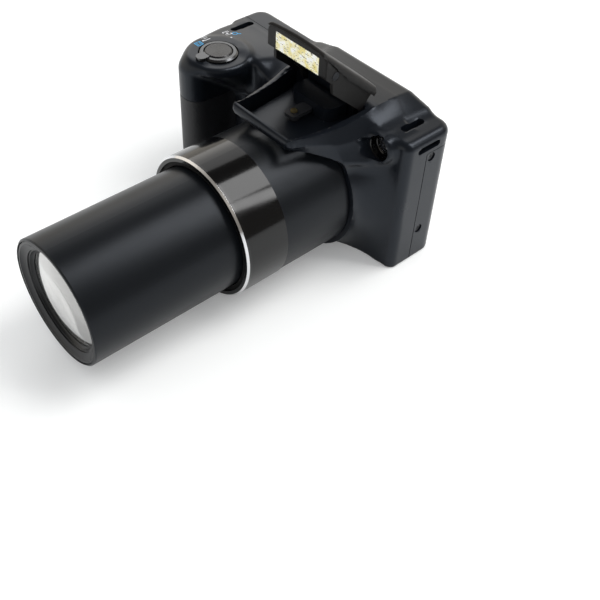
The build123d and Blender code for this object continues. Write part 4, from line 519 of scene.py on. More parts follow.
def contour(field, low, high, cell_size):
    """Vertices and faces of the surface of a distance field, between two corners of space."""
    low = np.array(low)
    lines = [np.arange(low[axis], high[axis], cell_size) for axis in range(3)]
    grid = field(lines[0][:, None, None], lines[1][None, :, None], lines[2][None, None, :])
    solid = grid < 0
    size = np.array(grid.shape) - 1
    quads, flips, places = [], [], []
    for axis in range(3):
        other = [(axis + 1) % 3, (axis + 2) % 3]
        first = np.take(solid, range(0, size[axis]), axis)
        second = np.take(solid, range(1, size[axis] + 1), axis)
        cross = np.argwhere(first != second)
        inner = np.all([(cross[:, o] > 0) & (cross[:, o] < size[o]) for o in other], axis=0)
        cross = cross[inner]
        ahead = cross.copy()
        ahead[:, axis] += 1
        here = grid[tuple(cross.T)]
        there = grid[tuple(ahead.T)]
        share = here / (here - there)
        place = low + cross * cell_size
        place[:, axis] += share * cell_size
        around = []
        for step_a, step_b in ((1, 1), (0, 1), (0, 0), (1, 0)):
            cell = cross.copy()
            cell[:, other[0]] -= step_a
            cell[:, other[1]] -= step_b
            around.append(np.ravel_multi_index(cell.T, size))
        quads.append(np.stack(around, 1))
        flips.append(here < 0)
        places.append(place)
    quads = np.concatenate(quads)
    flips = np.concatenate(flips)
    places = np.concatenate(places)
    x, y, z = places.T
    steps = np.eye(3) * GRADIENT_STEP
    normals = [field(x + s[0], y + s[1], z + s[2]) - field(x - s[0], y - s[1], z - s[2]) for s in steps]
    normals = np.stack(normals, 1)
    normals /= np.maximum(np.linalg.norm(normals, axis=1, keepdims=True), 1e-9)
    cells, index = np.unique(quads, return_inverse=True)
    index = index.reshape(quads.shape)
    owner = index.ravel()
    point = np.repeat(places, 4, axis=0)
    normal = np.repeat(normals, 4, axis=0)
    count = np.bincount(owner, minlength=len(cells))
    middle = np.stack([np.bincount(owner, point[:, k], len(cells)) for k in range(3)], 1) / count[:, None]
    offset = np.einsum("ij,ij->i", normal, point - middle[owner])
    square = np.empty((len(cells), 3, 3))
    reach = np.empty((len(cells), 3))
    for i in range(3):
        reach[:, i] = np.bincount(owner, normal[:, i] * offset, len(cells))
        for j in range(3):
            square[:, i, j] = np.bincount(owner, normal[:, i] * normal[:, j], len(cells))
    square += np.eye(3) * PULL
    vertices = middle + np.linalg.solve(square, reach[:, :, None])[:, :, 0]
    corner = low + np.stack(np.unravel_index(cells, size), 1) * cell_size
    vertices = np.clip(vertices, corner, corner + cell_size)
    index[flips] = index[flips][:, ::-1]
    return vertices, index


SHARP_ANGLE = math.radians(34)


def new_mesh(name, vertices, faces):
    """A mesh from its vertices, in metres, and its faces."""
    mesh = bpy.data.meshes.new(name)
    mesh.from_pydata(vertices, [], faces)
    return mesh


def smoothed(mesh):
    """The mesh with smooth shading, apart from its sharp edges."""
    mesh.shade_smooth()
    mesh.set_sharp_from_angle(angle=SHARP_ANGLE)
    return mesh


def set_on(name, shape, body, *nodes):
    """A piece from a mesh or a text, which rides on a body and may stand for CAD nodes."""
    piece = bpy.data.objects.new(name, shape)
    bpy.context.scene.collection.objects.link(piece)
    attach(piece, body)
    if nodes:
        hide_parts(*nodes)
    print(name, "rides on", body)
    return piece


def moulded_piece(name, shape, body, *nodes):
    """A smooth piece from vertices and faces in millimetres."""
    vertices, faces = shape
    print(name, "has", len(vertices), "vertices")
    return set_on(name, smoothed(new_mesh(name, (vertices * MM).tolist(), faces.tolist())), body, *nodes)


# %% [markdown]
# The body comes off the mould in three shells: the front, the rear, and a plate over the grip. Each is
# contoured in its own corner of space, with cells of 0.62 mm, which is fine enough for the smallest round.

# %% Mould the shells
BODY_CELL = 0.62
FRONT_REACH = ((-54.0, -43.5, -1.1), (54.0, 16.2, 65.0))
REAR_REACH = ((-54.0, -0.5, -1.1), (54.0, 18.3, 64.0))
PLATE_REACH = ((-54.0, -39.0, 41.0), (-6.5, 6.5, 63.5))
CASE_LOW = (-HALF_WIDTH, HUMP_FRONT_Y, 0)
CASE_HIGH = (HALF_WIDTH, BACK_Y + 2.0, 63.0)


def shell_shape(room, low, high):
    """The part of the body on one side of its seams, kept inside the camera's own size."""
    vertices, faces = contour(
        lambda x, y, z: np.maximum(body_distance(x, y, z), room(x, y, z)), low, high, BODY_CELL
    )
    return np.clip(vertices, CASE_LOW, CASE_HIGH), faces


front_shape = shell_shape(front_room, *FRONT_REACH)
front_case = moulded_piece("front_case", front_shape, "camera_body", "front_shell")
rear_shape = shell_shape(rear_room, *REAR_REACH)
rear_case = moulded_piece("rear_case", rear_shape, "camera_body", "rear_shell")
plate_shape = shell_shape(plate_room, *PLATE_REACH)
grip_plate = moulded_piece("grip_plate", plate_shape, "camera_body", "top_plate")

# %% [markdown]
# The flash head is moulded in the same flowing plastic: a crowned cover with round corners over a case that
# frames the window. It is drawn in its own tilted plane, along the cover and out of it, so it stays true
# to the hinge that it turns on.

# %% Flash head
TILT = math.radians(40.5)
HEAD_CELL, HEAD_REACH = 0.45, ((-6.5, -33.0, 51.0), (31.0, 2.5, 88.5))
FACE_Y, FACE_ROUND = -25.32, 0.5
WINDOW_BACK_Y, WINDOW_HALF, CAVITY_HALF = -24.2, 10.8, 12.12
WINDOW_FOOT_Z, WINDOW_TOP_Z = 77.3, 83.9
COVER_ROUND, COVER_FRONT_ROUND, COVER_BACK_ROUND = 2.4, 0.9, 0.5
CASE_ENDS, CASE_ROUND, CASE_LAP, CASE_WALL, CASE_BACK = (-36.2, -7.6), 1.8, 0.3, 2.2, -26.7
INSET, INSET_START, INSET_RUN = 0.9, -34.5, 8.0
CASE_FOOT = ((-26.7, -24.0), (0.6, -2.2))
WEB_ACROSS, WEB_ALONG, WEB_OUT = (12.4, 14.6), (-13.5, -10.5), (-0.6, 6.4)
ARM_ACROSS, KNUCKLE, PIN_HOLE = (12.4, 14.0), 2.0, 1.06
CASE_SCREW, CASE_SCREW_RADIUS, CASE_SCREW_DEPTH = (-27.4, 3.4), 1.6, 1.5
ARM = [
    (-13.5, -0.6), (-9.8, -0.95), (-7.0, -3.0), (-1.6, -1.6), (-1.4, 1.4),
    (-5.0, -0.3), (-6.5, -0.9), (-9.0, -0.9), (-9.0, 6.4), (-13.5, 6.4),
]
CAVITY = [(-27.3, 85.21), (FACE_Y, 85.21), (-19.69, 80.18), (-22.77, 76.1), (FACE_Y, 77.0), (-27.3, 77.0)]


def head_distance(x, y, z):
    """The raised flash head."""
    across = np.abs(x - LENS_X)
    along, out = hinge_plane(y, z, TILT)
    half, top, under = cover_form(across, along)
    cover = rounded(across - half, out - top, COVER_ROUND)
    cover = rounded(cover, COVER_FRONT - along, COVER_FRONT_ROUND)
    cover = np.maximum(cover, under - out)
    cover = rounded(cover, along - COVER_BACK + COVER_BOW * (across / half) ** 2, COVER_BACK_ROUND)
    inset = INSET * np.clip((along - INSET_START) / INSET_RUN, 0, 1)
    case = rounded(across - half + inset, out - top + COVER_SHEET - CASE_LAP, CASE_ROUND)
    case = np.maximum(case, slab(along, *CASE_ENDS))
    room = np.maximum(across - half + CASE_WALL, np.maximum(CASE_BACK - along, out - top + COVER_SHEET))
    case = np.maximum(carve(case, room), np.interp(along, *CASE_FOOT) - out)
    case = rounded(case, FACE_Y - y, FACE_ROUND)
    web = np.maximum(np.maximum(slab(across, *WEB_ACROSS), slab(along, *WEB_ALONG)), slab(out, *WEB_OUT))
    arm = np.minimum(outline(along, out, ARM), rod(along, out, (0, 0), KNUCKLE))
    arm = np.maximum(carve(arm, rod(along, out, (0, 0), PIN_HOLE)), slab(across, *ARM_ACROSS))
    head = np.minimum(np.minimum(case, cover), np.minimum(web, arm))
    in_front = y < WINDOW_BACK_Y
    window = np.maximum(outline(y, z, CAVITY), across - np.where(in_front, WINDOW_HALF, CAVITY_HALF))
    window = np.maximum(window, np.where(in_front, slab(z, WINDOW_FOOT_Z, WINDOW_TOP_Z), -1.0))
    screw = np.maximum(rod(along, out, CASE_SCREW, CASE_SCREW_RADIUS), half - CASE_SCREW_DEPTH - across)
    return carve(carve(head, window), screw)


head_shape = contour(head_distance, *HEAD_REACH, HEAD_CELL)
flash_hood = moulded_piece("flash_hood", head_shape, "flash_head", "flash_case", "flash_cover")

# %% [markdown]
# The mouth of the lens is a turned bezel: a satin cone, a small step, and a black well that keeps stray
# light off the front glass. The glass itself is a shallow dome, ground on both faces. Both are turned from a
# profile of forward distance and radius, as on a lathe.

# %% Lens mouth
LATHE_STEPS = 96
WELD = 0.001 * MM


def lathe(name, profile, middle, body, *nodes):
    """A turned piece about a forward axis, from a closed profile of forward distance and radius."""
    x, z = middle
    turns = [2 * math.pi * step / LATHE_STEPS for step in range(LATHE_STEPS)]
    vertices = [
        ((x + radius * math.sin(turn)) * MM, -distance * MM, (z + radius * math.cos(turn)) * MM)
        for distance, radius in profile
        for turn in turns
    ]
    faces = []
    for row in range(len(profile)):
        here, after = row * LATHE_STEPS, (row + 1) % len(profile) * LATHE_STEPS
        for step in range(LATHE_STEPS):
            turned = (step + 1) % LATHE_STEPS
            faces.append((here + step, here + turned, after + turned, after + step))
    mesh = new_mesh(name, vertices, faces)
    edit = bmesh.new()
    edit.from_mesh(mesh)
    bmesh.ops.remove_doubles(edit, verts=edit.verts, dist=WELD)
    bmesh.ops.recalc_face_normals(edit, faces=edit.faces)
    edit.to_mesh(mesh)
    edit.free()
    return set_on(name, smoothed(mesh), body, *nodes)


LENS_AXIS = (LENS_X, LENS_Z)
BEZEL_BACK_D, BEZEL_FRONT_D, BEZEL_RADIUS = 119.4, 125.9, 22.15
bezel_profile = [
    (BEZEL_BACK_D, BEZEL_RADIUS), (125.3, BEZEL_RADIUS), (125.75, 22.0), (BEZEL_FRONT_D, 21.6),
    (125.85, 21.1), (125.5, 20.8), (124.7, 19.0), (124.6, 18.6), (124.1, 18.45), (124.0, 18.1),
    (123.2, 17.75), (122.9, 17.35), (BEZEL_BACK_D, 17.3),
]
lens_mouth = lathe("lens_mouth", bezel_profile, LENS_AXIS, "barrel", "front_bezel")
GLASS_EDGE_D, GLASS_RADIUS, GLASS_EDGE, GLASS_CROWN, GLASS_HOLLOW = 122.6, 17.25, 3.2, 3.1, 1.0
DOME_STEPS = 12


def dome(edge, radius, crown):
    """A domed face from its rim to its middle, as forward distance and radius."""
    steps = [step / DOME_STEPS for step in range(DOME_STEPS, -1, -1)]
    return [(edge + crown * (1 - share * share), radius * share) for share in steps]


glass_profile = dome(GLASS_EDGE_D, GLASS_RADIUS, GLASS_CROWN)
glass_profile += reversed(dome(GLASS_EDGE_D - GLASS_EDGE, GLASS_RADIUS, GLASS_HOLLOW))
front_glass = lathe("front_glass", glass_profile, LENS_AXIS, "barrel", "front_element")

# %% [markdown]
# The assist lamp sits at the bottom of its bore: a black ring holds a small domed lens, and the ring's lip
# catches the light as a thin arc.

# %% Assist lamp
LAMP_LENS_D, LAMP_LENS_RADIUS, LAMP_LENS_EDGE, LAMP_LENS_CROWN = 7.8, 3.75, 1.3, 1.5
holder_profile = [(5.1, 4.65), (10.7, 4.65), (11.1, 4.5), (10.8, 4.25), (8.2, 4.1), (8.0, 3.8), (5.1, 3.8)]
lamp_holder = lathe("lamp_holder", holder_profile, LAMP, "camera_body")
lamp_profile = dome(LAMP_LENS_D, LAMP_LENS_RADIUS, LAMP_LENS_CROWN)
lamp_profile += reversed(dome(LAMP_LENS_D - LAMP_LENS_EDGE, LAMP_LENS_RADIUS, 0.1))
lamp_lens = lathe("lamp_lens", lamp_profile, LAMP, "camera_body", "af_lamp_window")

# %% [markdown]
# The flash window is a thin acrylic lens, pressed with upright ribs on its face, which spread the light
# across the picture. The ribs are real waves of the sheet, 0.9 mm apart.

# %% Flash window
RIB_PITCH, RIB_DEPTH, RIB_STEPS = 0.9, 0.12, 6
WINDOW_FRONT_Y = -25.05


def window_sheet():
    """The front of the ribbed sheet with its flat back and edges."""
    count = round(2 * WINDOW_HALF / RIB_PITCH) * RIB_STEPS
    rows = []
    for step in range(count + 1):
        x = LENS_X - WINDOW_HALF + 2 * WINDOW_HALF * step / count
        wave = RIB_DEPTH * (0.5 - 0.5 * math.cos(2 * math.pi * step / RIB_STEPS))
        rows.append((x, WINDOW_FRONT_Y - wave))
    vertices, faces = [], []
    for x, front in rows:
        corners = [(front, WINDOW_FOOT_Z), (front, WINDOW_TOP_Z)]
        corners += [(WINDOW_BACK_Y, WINDOW_TOP_Z), (WINDOW_BACK_Y, WINDOW_FOOT_Z)]
        vertices += [(x * MM, y * MM, z * MM) for y, z in corners]
    for step in range(count):
        for side in range(4):
            after = (side + 1) % 4
            faces.append((4 * step + side, 4 * step + after, 4 * step + 4 + after, 4 * step + 4 + side))
    faces.append((3, 2, 1, 0))
    faces.append(tuple(4 * count + side for side in range(4)))
    return vertices, faces


sheet_mesh = smoothed(new_mesh("flash_lens", *window_sheet()))
flash_lens = set_on("flash_lens", sheet_mesh, "flash_head", "flash_window")

# %% [markdown]
# The black of a camera is not one black. The shells are ABS from a spark-eroded mould, whose fine grain
# breaks up reflections. The barrels are polycarbonate, turned smoother. The band behind the bright ring is
# polished like a piano. Each gets the roughness and grain of its own finish, with the grain in millimetres.

# %% Grain helpers
def noise(tree, size_mm, detail=2.0):
    """Random values that change over a real size."""
    place = add(tree, "ShaderNodeTexCoord")
    settings = {"Scale": 1 / (size_mm * MM), "Detail": detail}
    return add(tree, "ShaderNodeTexNoise", settings, {"Vector": place.outputs["Object"]})


def bumped(tree, shader, height, depth_mm, strength=1.0):
    """A height from zero to one, as a bump of a real depth on a surface."""
    bump = add(tree, "ShaderNodeBump", {"Strength": strength, "Distance": depth_mm * MM}, {"Height": height})
    tree.links.new(bump.outputs["Normal"], shader.inputs["Normal"])


def finish(name, color, roughness, fine=None, wear=None, **sockets):
    """A finish with a grain of a size and depth, and a roughness that drifts, as handling leaves it."""
    made, tree, shader = surface(name, color, roughness, **sockets)
    if fine:
        size_mm, depth_mm = fine
        bumped(tree, shader, noise(tree, size_mm).outputs["Fac"], depth_mm)
    if wear:
        patch_mm, smooth, rough = wear
        patches = noise(tree, patch_mm, 3.0)
        spread = add(
            tree, "ShaderNodeMapRange", {"To Min": smooth, "To Max": rough}, {"Value": patches.outputs["Fac"]}
        )
        tree.links.new(spread.outputs["Result"], shader.inputs["Roughness"])
    return made


def along(tree, axis):
    """A place along one axis of the camera, in metres."""
    place = add(tree, "ShaderNodeTexCoord")
    parts = add(tree, "ShaderNodeSeparateXYZ", None, {"Vector": place.outputs["Object"]})
    return parts.outputs[axis]


def between(tree, value, low, high):
    """One inside a range of a value, and zero outside it."""
    over = add(tree, "ShaderNodeMath", {"operation": "GREATER_THAN", 1: low}, {0: value})
    under = add(tree, "ShaderNodeMath", {"operation": "LESS_THAN", 1: high}, {0: value})
    both = add(tree, "ShaderNodeMath", {"operation": "MULTIPLY"}, {0: over.outputs[0], 1: under.outputs[0]})
    return both.outputs[0]


print("a finish is a colour, a roughness, a grain and its wear")

# %% [markdown]
# The plastics differ in roughness more than in colour. The shells and the barrels mirror a cool light, so
# their highlights are tinted a little blue, and the flash head is the dullest of the three.

# %% Plastics of the body and barrels
SPARK_GRAIN, TURNED_GRAIN = 0.32, 0.22
moulded_abs = finish(
    "moulded_abs", "#111419", 0.28, fine=(SPARK_GRAIN, 0.007), wear=(22.0, 0.25, 0.33),
    Specular_IOR_Level=0.38, Specular_Tint=linear("#dfe8f6"),
)
flash_abs = finish(
    "matt_moulded_abs", "#0f0e0e", 0.48, fine=(SPARK_GRAIN, 0.01), wear=(14.0, 0.44, 0.54),
    Specular_IOR_Level=0.3,
)
satin_polycarbonate = finish(
    "satin_polycarbonate", "#111316", 0.34, fine=(TURNED_GRAIN, 0.006), wear=(16.0, 0.3, 0.36),
    Specular_IOR_Level=0.25, Specular_Tint=linear("#e6ecf5"),
)
polished_abs = finish("polished_abs", "#060607", 0.1, wear=(5.0, 0.08, 0.14), Specular_IOR_Level=0.42)
matt_black = finish("matt_black_nylon", "#0b0b0c", 0.62, fine=(0.5, 0.02), Specular_IOR_Level=0.3)
bezel_nylon = finish("satin_nylon", "#141518", 0.36, fine=(0.25, 0.006), Specular_IOR_Level=0.4)
seal_rubber = finish("seal_rubber", "#08080a", 0.7, fine=(0.4, 0.01), Specular_IOR_Level=0.25)
print("spark grain of", SPARK_GRAIN, "mm, turned grain of", TURNED_GRAIN, "mm")

# %% [markdown]
# The grip is a rubber skin pressed with a leather grain. Leather creases split the surface into pebbles
# about a millimetre across, so the grain comes from the borders of random cells, softened by a finer noise.

# %% Rubber grip
PEBBLE, WANDER, CREASE, CREASE_DEPTH = 1.1, 0.6, 0.22, 0.05
grip_rubber, tree, shader = surface("grip_rubber", "#1b1c1f", 0.46, Specular_IOR_Level=0.5)
place = add(tree, "ShaderNodeTexCoord")
settings = {"operation": "MULTIPLY_ADD", 1: (WANDER * PEBBLE * MM,) * 3}
sources = {0: noise(tree, 2 * PEBBLE).outputs["Color"], 2: place.outputs["Object"]}
shifted = add(tree, "ShaderNodeVectorMath", settings, sources)
settings = {"feature": "DISTANCE_TO_EDGE", "Scale": 1 / (PEBBLE * MM)}
cells = add(tree, "ShaderNodeTexVoronoi", settings, {"Vector": shifted.outputs[0]})
rounding = add(tree, "ShaderNodeMapRange", {"From Max": CREASE}, {"Value": cells.outputs["Distance"]})
bumped(tree, shader, rounding.outputs["Result"], CREASE_DEPTH, 0.55)
print("pebbles of", PEBBLE, "mm")

# %% [markdown]
# Metals show in small places. The front edge of the ring is diamond-cut aluminium, and the rest of the ring
# is polished black, so one material tells the two apart by the place along the lens. The zoom lever is
# satin metal, darkened by its anodised coat. Screws are zinc-plated steel.

# %% Metals
def split(name, color_in, rough_in, color_out, rough_out, mask_maker):
    """Metal where a mask is one, and black plastic elsewhere, in one material."""
    made, tree, shader = surface(name, color_out, rough_out)
    mask = mask_maker(tree)
    colors = {"data_type": "RGBA", 6: linear(color_out), 7: linear(color_in)}
    tint = add(tree, "ShaderNodeMix", colors, {0: mask})
    tree.links.new(tint.outputs[2], shader.inputs["Base Color"])
    rough = add(tree, "ShaderNodeMapRange", {"To Min": rough_out, "To Max": rough_in}, {"Value": mask})
    tree.links.new(rough.outputs["Result"], shader.inputs["Roughness"])
    tree.links.new(mask, shader.inputs["Metallic"])
    return made


RING_CUT_BACK, RING_CUT_FRONT = 67.38, 68.08
cut_aluminium = split(
    "cut_aluminium", "#e8e8ea", 0.12, "#070708", 0.1,
    lambda tree: between(tree, along(tree, "Y"), -RING_CUT_FRONT * MM, -RING_CUT_BACK * MM),
)
LATCH_SCREW_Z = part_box("latch_bracket")[1][2] / MM
SCREW_HEAD_DEPTH = 0.45
brass_screw = split(
    "brass_screw_in_nylon", "#d9c48a", 0.3, "#26272a", 0.4,
    lambda tree: between(tree, along(tree, "Z"), (LATCH_SCREW_Z - SCREW_HEAD_DEPTH) * MM, 1.0),
)
satin_metal = finish("anodised_aluminium", "#606163", 0.26, fine=(0.15, 0.003), Metallic=1.0)
zinc_steel = finish("zinc_plated_steel", "#3c3d40", 0.35, fine=(0.3, 0.004), Metallic=1.0)
bush_metal = finish("nickel_plated_brass", "#a9a79f", 0.28, fine=(0.3, 0.004), Metallic=1.0)
mirror = finish("bright_aluminium", "#e2e3e5", 0.12, wear=(3.0, 0.08, 0.2), Metallic=1.0)
print("the ring is cut bright over", round(RING_CUT_FRONT - RING_CUT_BACK, 2), "mm")

# %% [markdown]
# The shutter and power buttons are moulded with fine turned rings. Each ring catches the light along one
# direction only, which draws the bright fan that turned faces have. The rings are 0.3 mm apart.

# %% Buttons with turned faces
RING_PITCH, RING_DEPTH = 0.3, 0.03


def turned_face(name, color, center):
    """Plastic with fine rings round a centre on the top of the camera."""
    made, tree, shader = surface(name, color, 0.26, Specular_IOR_Level=0.5)
    place = add(tree, "ShaderNodeTexCoord")
    settings = {"operation": "SUBTRACT", 1: (center[0] * MM, center[1] * MM, 0.0)}
    moved = add(tree, "ShaderNodeVectorMath", settings, {0: place.outputs["Object"]})
    settings = {"wave_type": "RINGS", "rings_direction": "Z", "Scale": math.pi / (10 * RING_PITCH * MM)}
    rings = add(tree, "ShaderNodeTexWave", settings, {"Vector": moved.outputs[0]})
    bumped(tree, shader, rings.outputs["Fac"], RING_DEPTH, 0.5)
    return made


shutter_face = turned_face("turned_abs_shutter", "#1c1c1e", SHUTTER)
power_face = turned_face("turned_abs_power", "#1a1a1c", POWER)
button_gloss = finish("gloss_abs_buttons", "#101012", 0.2, wear=(2.0, 0.16, 0.26), Specular_IOR_Level=0.5)
print("turned rings of", RING_PITCH, "mm")

# %% [markdown]
# Camera glass is dense lanthanum glass with a high index, so each face mirrors more than window glass does.
# Several such faces stand behind one another, which is why the lens shows the pale floor so strongly.

# %% Glass, window and screen
coated_glass, tree, shader = surface("lanthanum_glass", "#fbfaf8", 0.02, Transmission_Weight=1.0, IOR=1.88)
facing = add(tree, "ShaderNodeLayerWeight", {"Blend": 0.5})
settings = {"From Min": 0.12, "From Max": 0.62, "To Min": 0.02, "To Max": 0.6}
stack = add(tree, "ShaderNodeMapRange", settings, {"Value": facing.outputs["Facing"]})
tree.links.new(stack.outputs["Result"], shader.inputs["Metallic"])
clear_acrylic = finish("clear_acrylic", "#f4f4f6", 0.05, Transmission_Weight=1.0, IOR=1.49)
smoked_acrylic = finish(
    "smoked_acrylic", "#55565c", 0.06, Transmission_Weight=0.85, IOR=1.49, Coat_Weight=1.0
)
screen_glass = finish(
    "hardened_glass", "#050507", 0.04, wear=(12.0, 0.03, 0.07), Specular_IOR_Level=0.5, Coat_Weight=0.4
)
sensor_glass = finish("sensor_glass", "#243040", 0.1, wear=(3.0, 0.06, 0.14), Specular_IOR_Level=0.8)
print("glass of index", shader.inputs["IOR"].default_value)

# %% [markdown]
# Behind the ribs of the flash window lies the bright reflector. The window is an opaque sheet here, and the
# reflector seen through the ribs is painted on it: pale patches of painted reflection, with a few dashes of
# painted shade between them, and a faint painted glow. Two noises draw that: one of patches, and one of
# short dashes.

# %% Ribbed acrylic with a painted reflector
PATCH, DASH_LONG, DASH_HIGH = 3.2, 1.5, 0.4
# The window glows a little, though it is no lamp: a painted glow over a painted reflection.
painted_reflector_window, tree, shader = surface(
    "ribbed_acrylic_painted_reflector", "#efedcf", 0.16, Specular_IOR_Level=0.6, Emission_Strength=0.22
)
place = add(tree, "ShaderNodeTexCoord")
patches = noise(tree, PATCH)
tint = add(tree, "ShaderNodeValToRGB", None, {"Fac": patches.outputs["Fac"]})
for stop, (position, color) in zip(tint.color_ramp.elements, ((0.36, "#e9dc92"), (0.6, "#fffff6"))):
    stop.position = position
    stop.color = linear(color)
dash_scale = (1 / (DASH_LONG * MM), 1 / (DASH_HIGH * MM), 1 / (DASH_HIGH * MM))
settings = {"operation": "MULTIPLY", 1: dash_scale}
stretch = add(tree, "ShaderNodeVectorMath", settings, {0: place.outputs["Object"]})
dashes = add(tree, "ShaderNodeTexNoise", {"Scale": 1.0, "Detail": 1.0}, {"Vector": stretch.outputs[0]})
settings = {"From Min": 0.4, "From Max": 0.33, "To Min": 0.0, "To Max": 0.85}
painted_dash_shade = add(tree, "ShaderNodeMapRange", settings, {"Value": dashes.outputs["Fac"]})
settings = {"data_type": "RGBA", 7: linear("#3f3d1e")}
painted_reflector_colour = add(tree, "ShaderNodeMix", settings, {0: painted_dash_shade.outputs["Result"], 6: tint.outputs["Color"]})
# The painted reflection colours both the surface and its painted glow.
for socket in ("Base Color", "Emission Color"):
    tree.links.new(painted_reflector_colour.outputs[2], shader.inputs[socket])
print("patches of", PATCH, "mm")

# %% [markdown]
# What lies inside is seen through the open doors and when the camera comes apart: green boards, the battery
# in its shrink wrap, the blue card and the rolled steel of the chassis.

# %% Inner parts
board_green = finish("solder_mask", "#0f3a22", 0.35, fine=(0.6, 0.02))
battery_wrap = finish("shrink_wrap", "#5d6066", 0.3, wear=(8.0, 0.25, 0.38))
card_blue = finish("card_polystyrene", "#1d3f7a", 0.4, fine=(0.3, 0.005))
steel_sheet = finish("rolled_steel_sheet", "#8b8d90", 0.35, fine=(0.4, 0.006), Metallic=1.0)
print("materials so far:", len(bpy.data.materials))

# %% [markdown]
# Each solid now takes the finish of what it is made of.

# %% Dress the solids
FINISHES = {
    moulded_abs: ("battery_door", "door_latch", "terminal_cover", "latch_block"),
    satin_polycarbonate: ("outer_barrel", "front_barrel"),
    polished_abs: ("gloss_sleeve",),
    cut_aluminium: ("chrome_ring",),
    grip_rubber: ("grip_skin",),
    satin_metal: ("zoom_lever",),
    shutter_face: ("shutter_button",),
    power_face: ("power_button",),
    button_gloss: ("movie_button", "play_button", "menu_button", "auto_button", "control_pad", "set_button"),
    seal_rubber: ("barrel_seal",),
    brass_screw: ("latch_bracket",),
    bezel_nylon: ("front_bezel", "front_cell"),
    zinc_steel: ("case_screws", "flash_screws", "door_pin", "flash_pins"),
    bush_metal: ("tripod_bush", "terminal_socket"),
    mirror: ("flash_reflector",),
    coated_glass: ("front_element", "second_element", "zoom_glass", "focus_glass"),
    clear_acrylic: ("af_lamp_window", "flash_tube"),
    # The flash window takes the painted reflection and glow of the reflector.
    painted_reflector_window: ("flash_window",),
    screen_glass: ("lcd_window", "lcd_panel"),
    sensor_glass: ("image_sensor",),
    board_green: ("main_board", "button_board"),
    battery_wrap: ("battery", "flash_capacitor"),
    card_blue: ("memory_card",),
    steel_sheet: ("chassis_frame", "guide_rods", "zoom_motor", "focus_motor"),
}
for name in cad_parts:
    dress(name, matt_black)
for material, names in FINISHES.items():
    for name in names:
        dress(name, material)
for piece in (front_case, rear_case, grip_plate):
    piece.data.materials.append(moulded_abs)
flash_hood.data.materials.append(flash_abs)
lens_mouth.data.materials.append(bezel_nylon)
lamp_holder.data.materials.append(polished_abs)
lamp_lens.data.materials.append(smoked_acrylic)
front_glass.data.materials.append(coated_glass)
# The ribbed sheet shows the painted reflection and glow of the reflector.
flash_lens.data.materials.append(painted_reflector_window)
print("finishes:", len(FINISHES) + 1)

# %% [markdown]
# Marks are printed on the finished plastic in one pass of ink, far thinner than a hair. Each is a flat
# shape in plan. The height of each of its points is found by halving the gap to the moulded surface.

# %% Printed marks
INK_LIFT, INK_SEARCH, INK_LOW, INK_HIGH = 0.03, 24, 50.0, 64.0
SQUARE = ((-1, -1), (1, -1), (1, 1), (-1, 1))


def surface_height(x, y):
    """How high the body stands at places in plan, by halving the gap to its surface."""
    low = np.full(x.shape, INK_LOW)
    high = np.full(x.shape, INK_HIGH)
    for _ in range(INK_SEARCH):
        middle = (low + high) / 2
        inside = outer_distance(x, y, middle) < 0
        low = np.where(inside, middle, low)
        high = np.where(inside, high, middle)
    return high


def strip(points, width, closed=False):
    """Quads along a line of points in plan, of one width."""
    made = []
    for start, end in zip(points, points[1:] + points[:1] if closed else points[1:]):
        a = np.array(start, float)
        b = np.array(end, float)
        run = (b - a) / np.linalg.norm(b - a)
        side = np.array((-run[1], run[0])) * width / 2
        a = a - run * width / 2
        b = b + run * width / 2
        made.append([a - side, b - side, b + side, a + side])
    return made


def circle(place, radius, count):
    """Points round a circle in plan."""
    turns = [2 * math.pi * step / count for step in range(count)]
    return [(place[0] + radius * math.cos(turn), place[1] + radius * math.sin(turn)) for turn in turns]


def frame_line(place, half, width):
    """A square line in plan."""
    return strip([(place[0] + u * half, place[1] + v * half) for u, v in SQUARE], width, True)


def print_mark(name, polygons, ink):
    """A printed mark of flat polygons, laid on the top of the camera."""
    corners = np.array([corner for polygon in polygons for corner in polygon])
    height = surface_height(corners[:, 0], corners[:, 1]) + INK_LIFT
    faces, first = [], 0
    for polygon in polygons:
        faces.append(list(range(first, first + len(polygon))))
        first += len(polygon)
    mesh = new_mesh(name, [(x * MM, y * MM, z * MM) for (x, y), z in zip(corners, height)], faces)
    mesh.materials.append(ink)
    set_on(name, mesh, "camera_body")


white_ink = finish("white_pad_print", "#d9dadc", 0.5, fine=(0.2, 0.003))
blue_ink = finish("blue_pad_print", "#2b9fd6", 0.5, fine=(0.2, 0.003))
LINE, GRIP_LINE, DOT, DOT_CORNERS = 0.32, 0.42, 0.24, 8
GRID_PLACE, GRID_HALF, GRID_STEPS = (-42.6, -25.0), 1.25, ((-0.55, 0.0, 0.55), (-0.55, 0.55))
WIDE_PLACE, WIDE_HALF, WIDE_STEPS = (-44.2, -20.6), 1.15, (-0.6, 0.0, 0.6)
TELE_PLACE, TELE_RADIUS, TELE_CORNERS, TELE_GRIP = (-41.6, -8.3), 0.95, 18, (0.7, 1.6)
SUBJECT_PLACE, SUBJECT_RADIUS, BRACKET, BRACKET_HALF = (-43.5, -10.6), 0.5, (0.7, 1.4), 1.3
ZOOM_DOTS, ZOOM_DOT, ROUND_CORNERS = ((-43.3, -22.4), (-38.9, -12.2)), 0.42, 14
grid_mark = frame_line(GRID_PLACE, GRID_HALF, LINE)
for step_x in GRID_STEPS[0]:
    for step_y in GRID_STEPS[1]:
        grid_mark.append(circle((GRID_PLACE[0] + step_x, GRID_PLACE[1] + step_y), DOT, DOT_CORNERS))
print_mark("index_mark", grid_mark, blue_ink)
wide_mark = frame_line(WIDE_PLACE, WIDE_HALF, LINE)
wide_mark += [circle((WIDE_PLACE[0], WIDE_PLACE[1] + step), DOT, DOT_CORNERS) for step in WIDE_STEPS]
print_mark("wide_mark", wide_mark, white_ink)
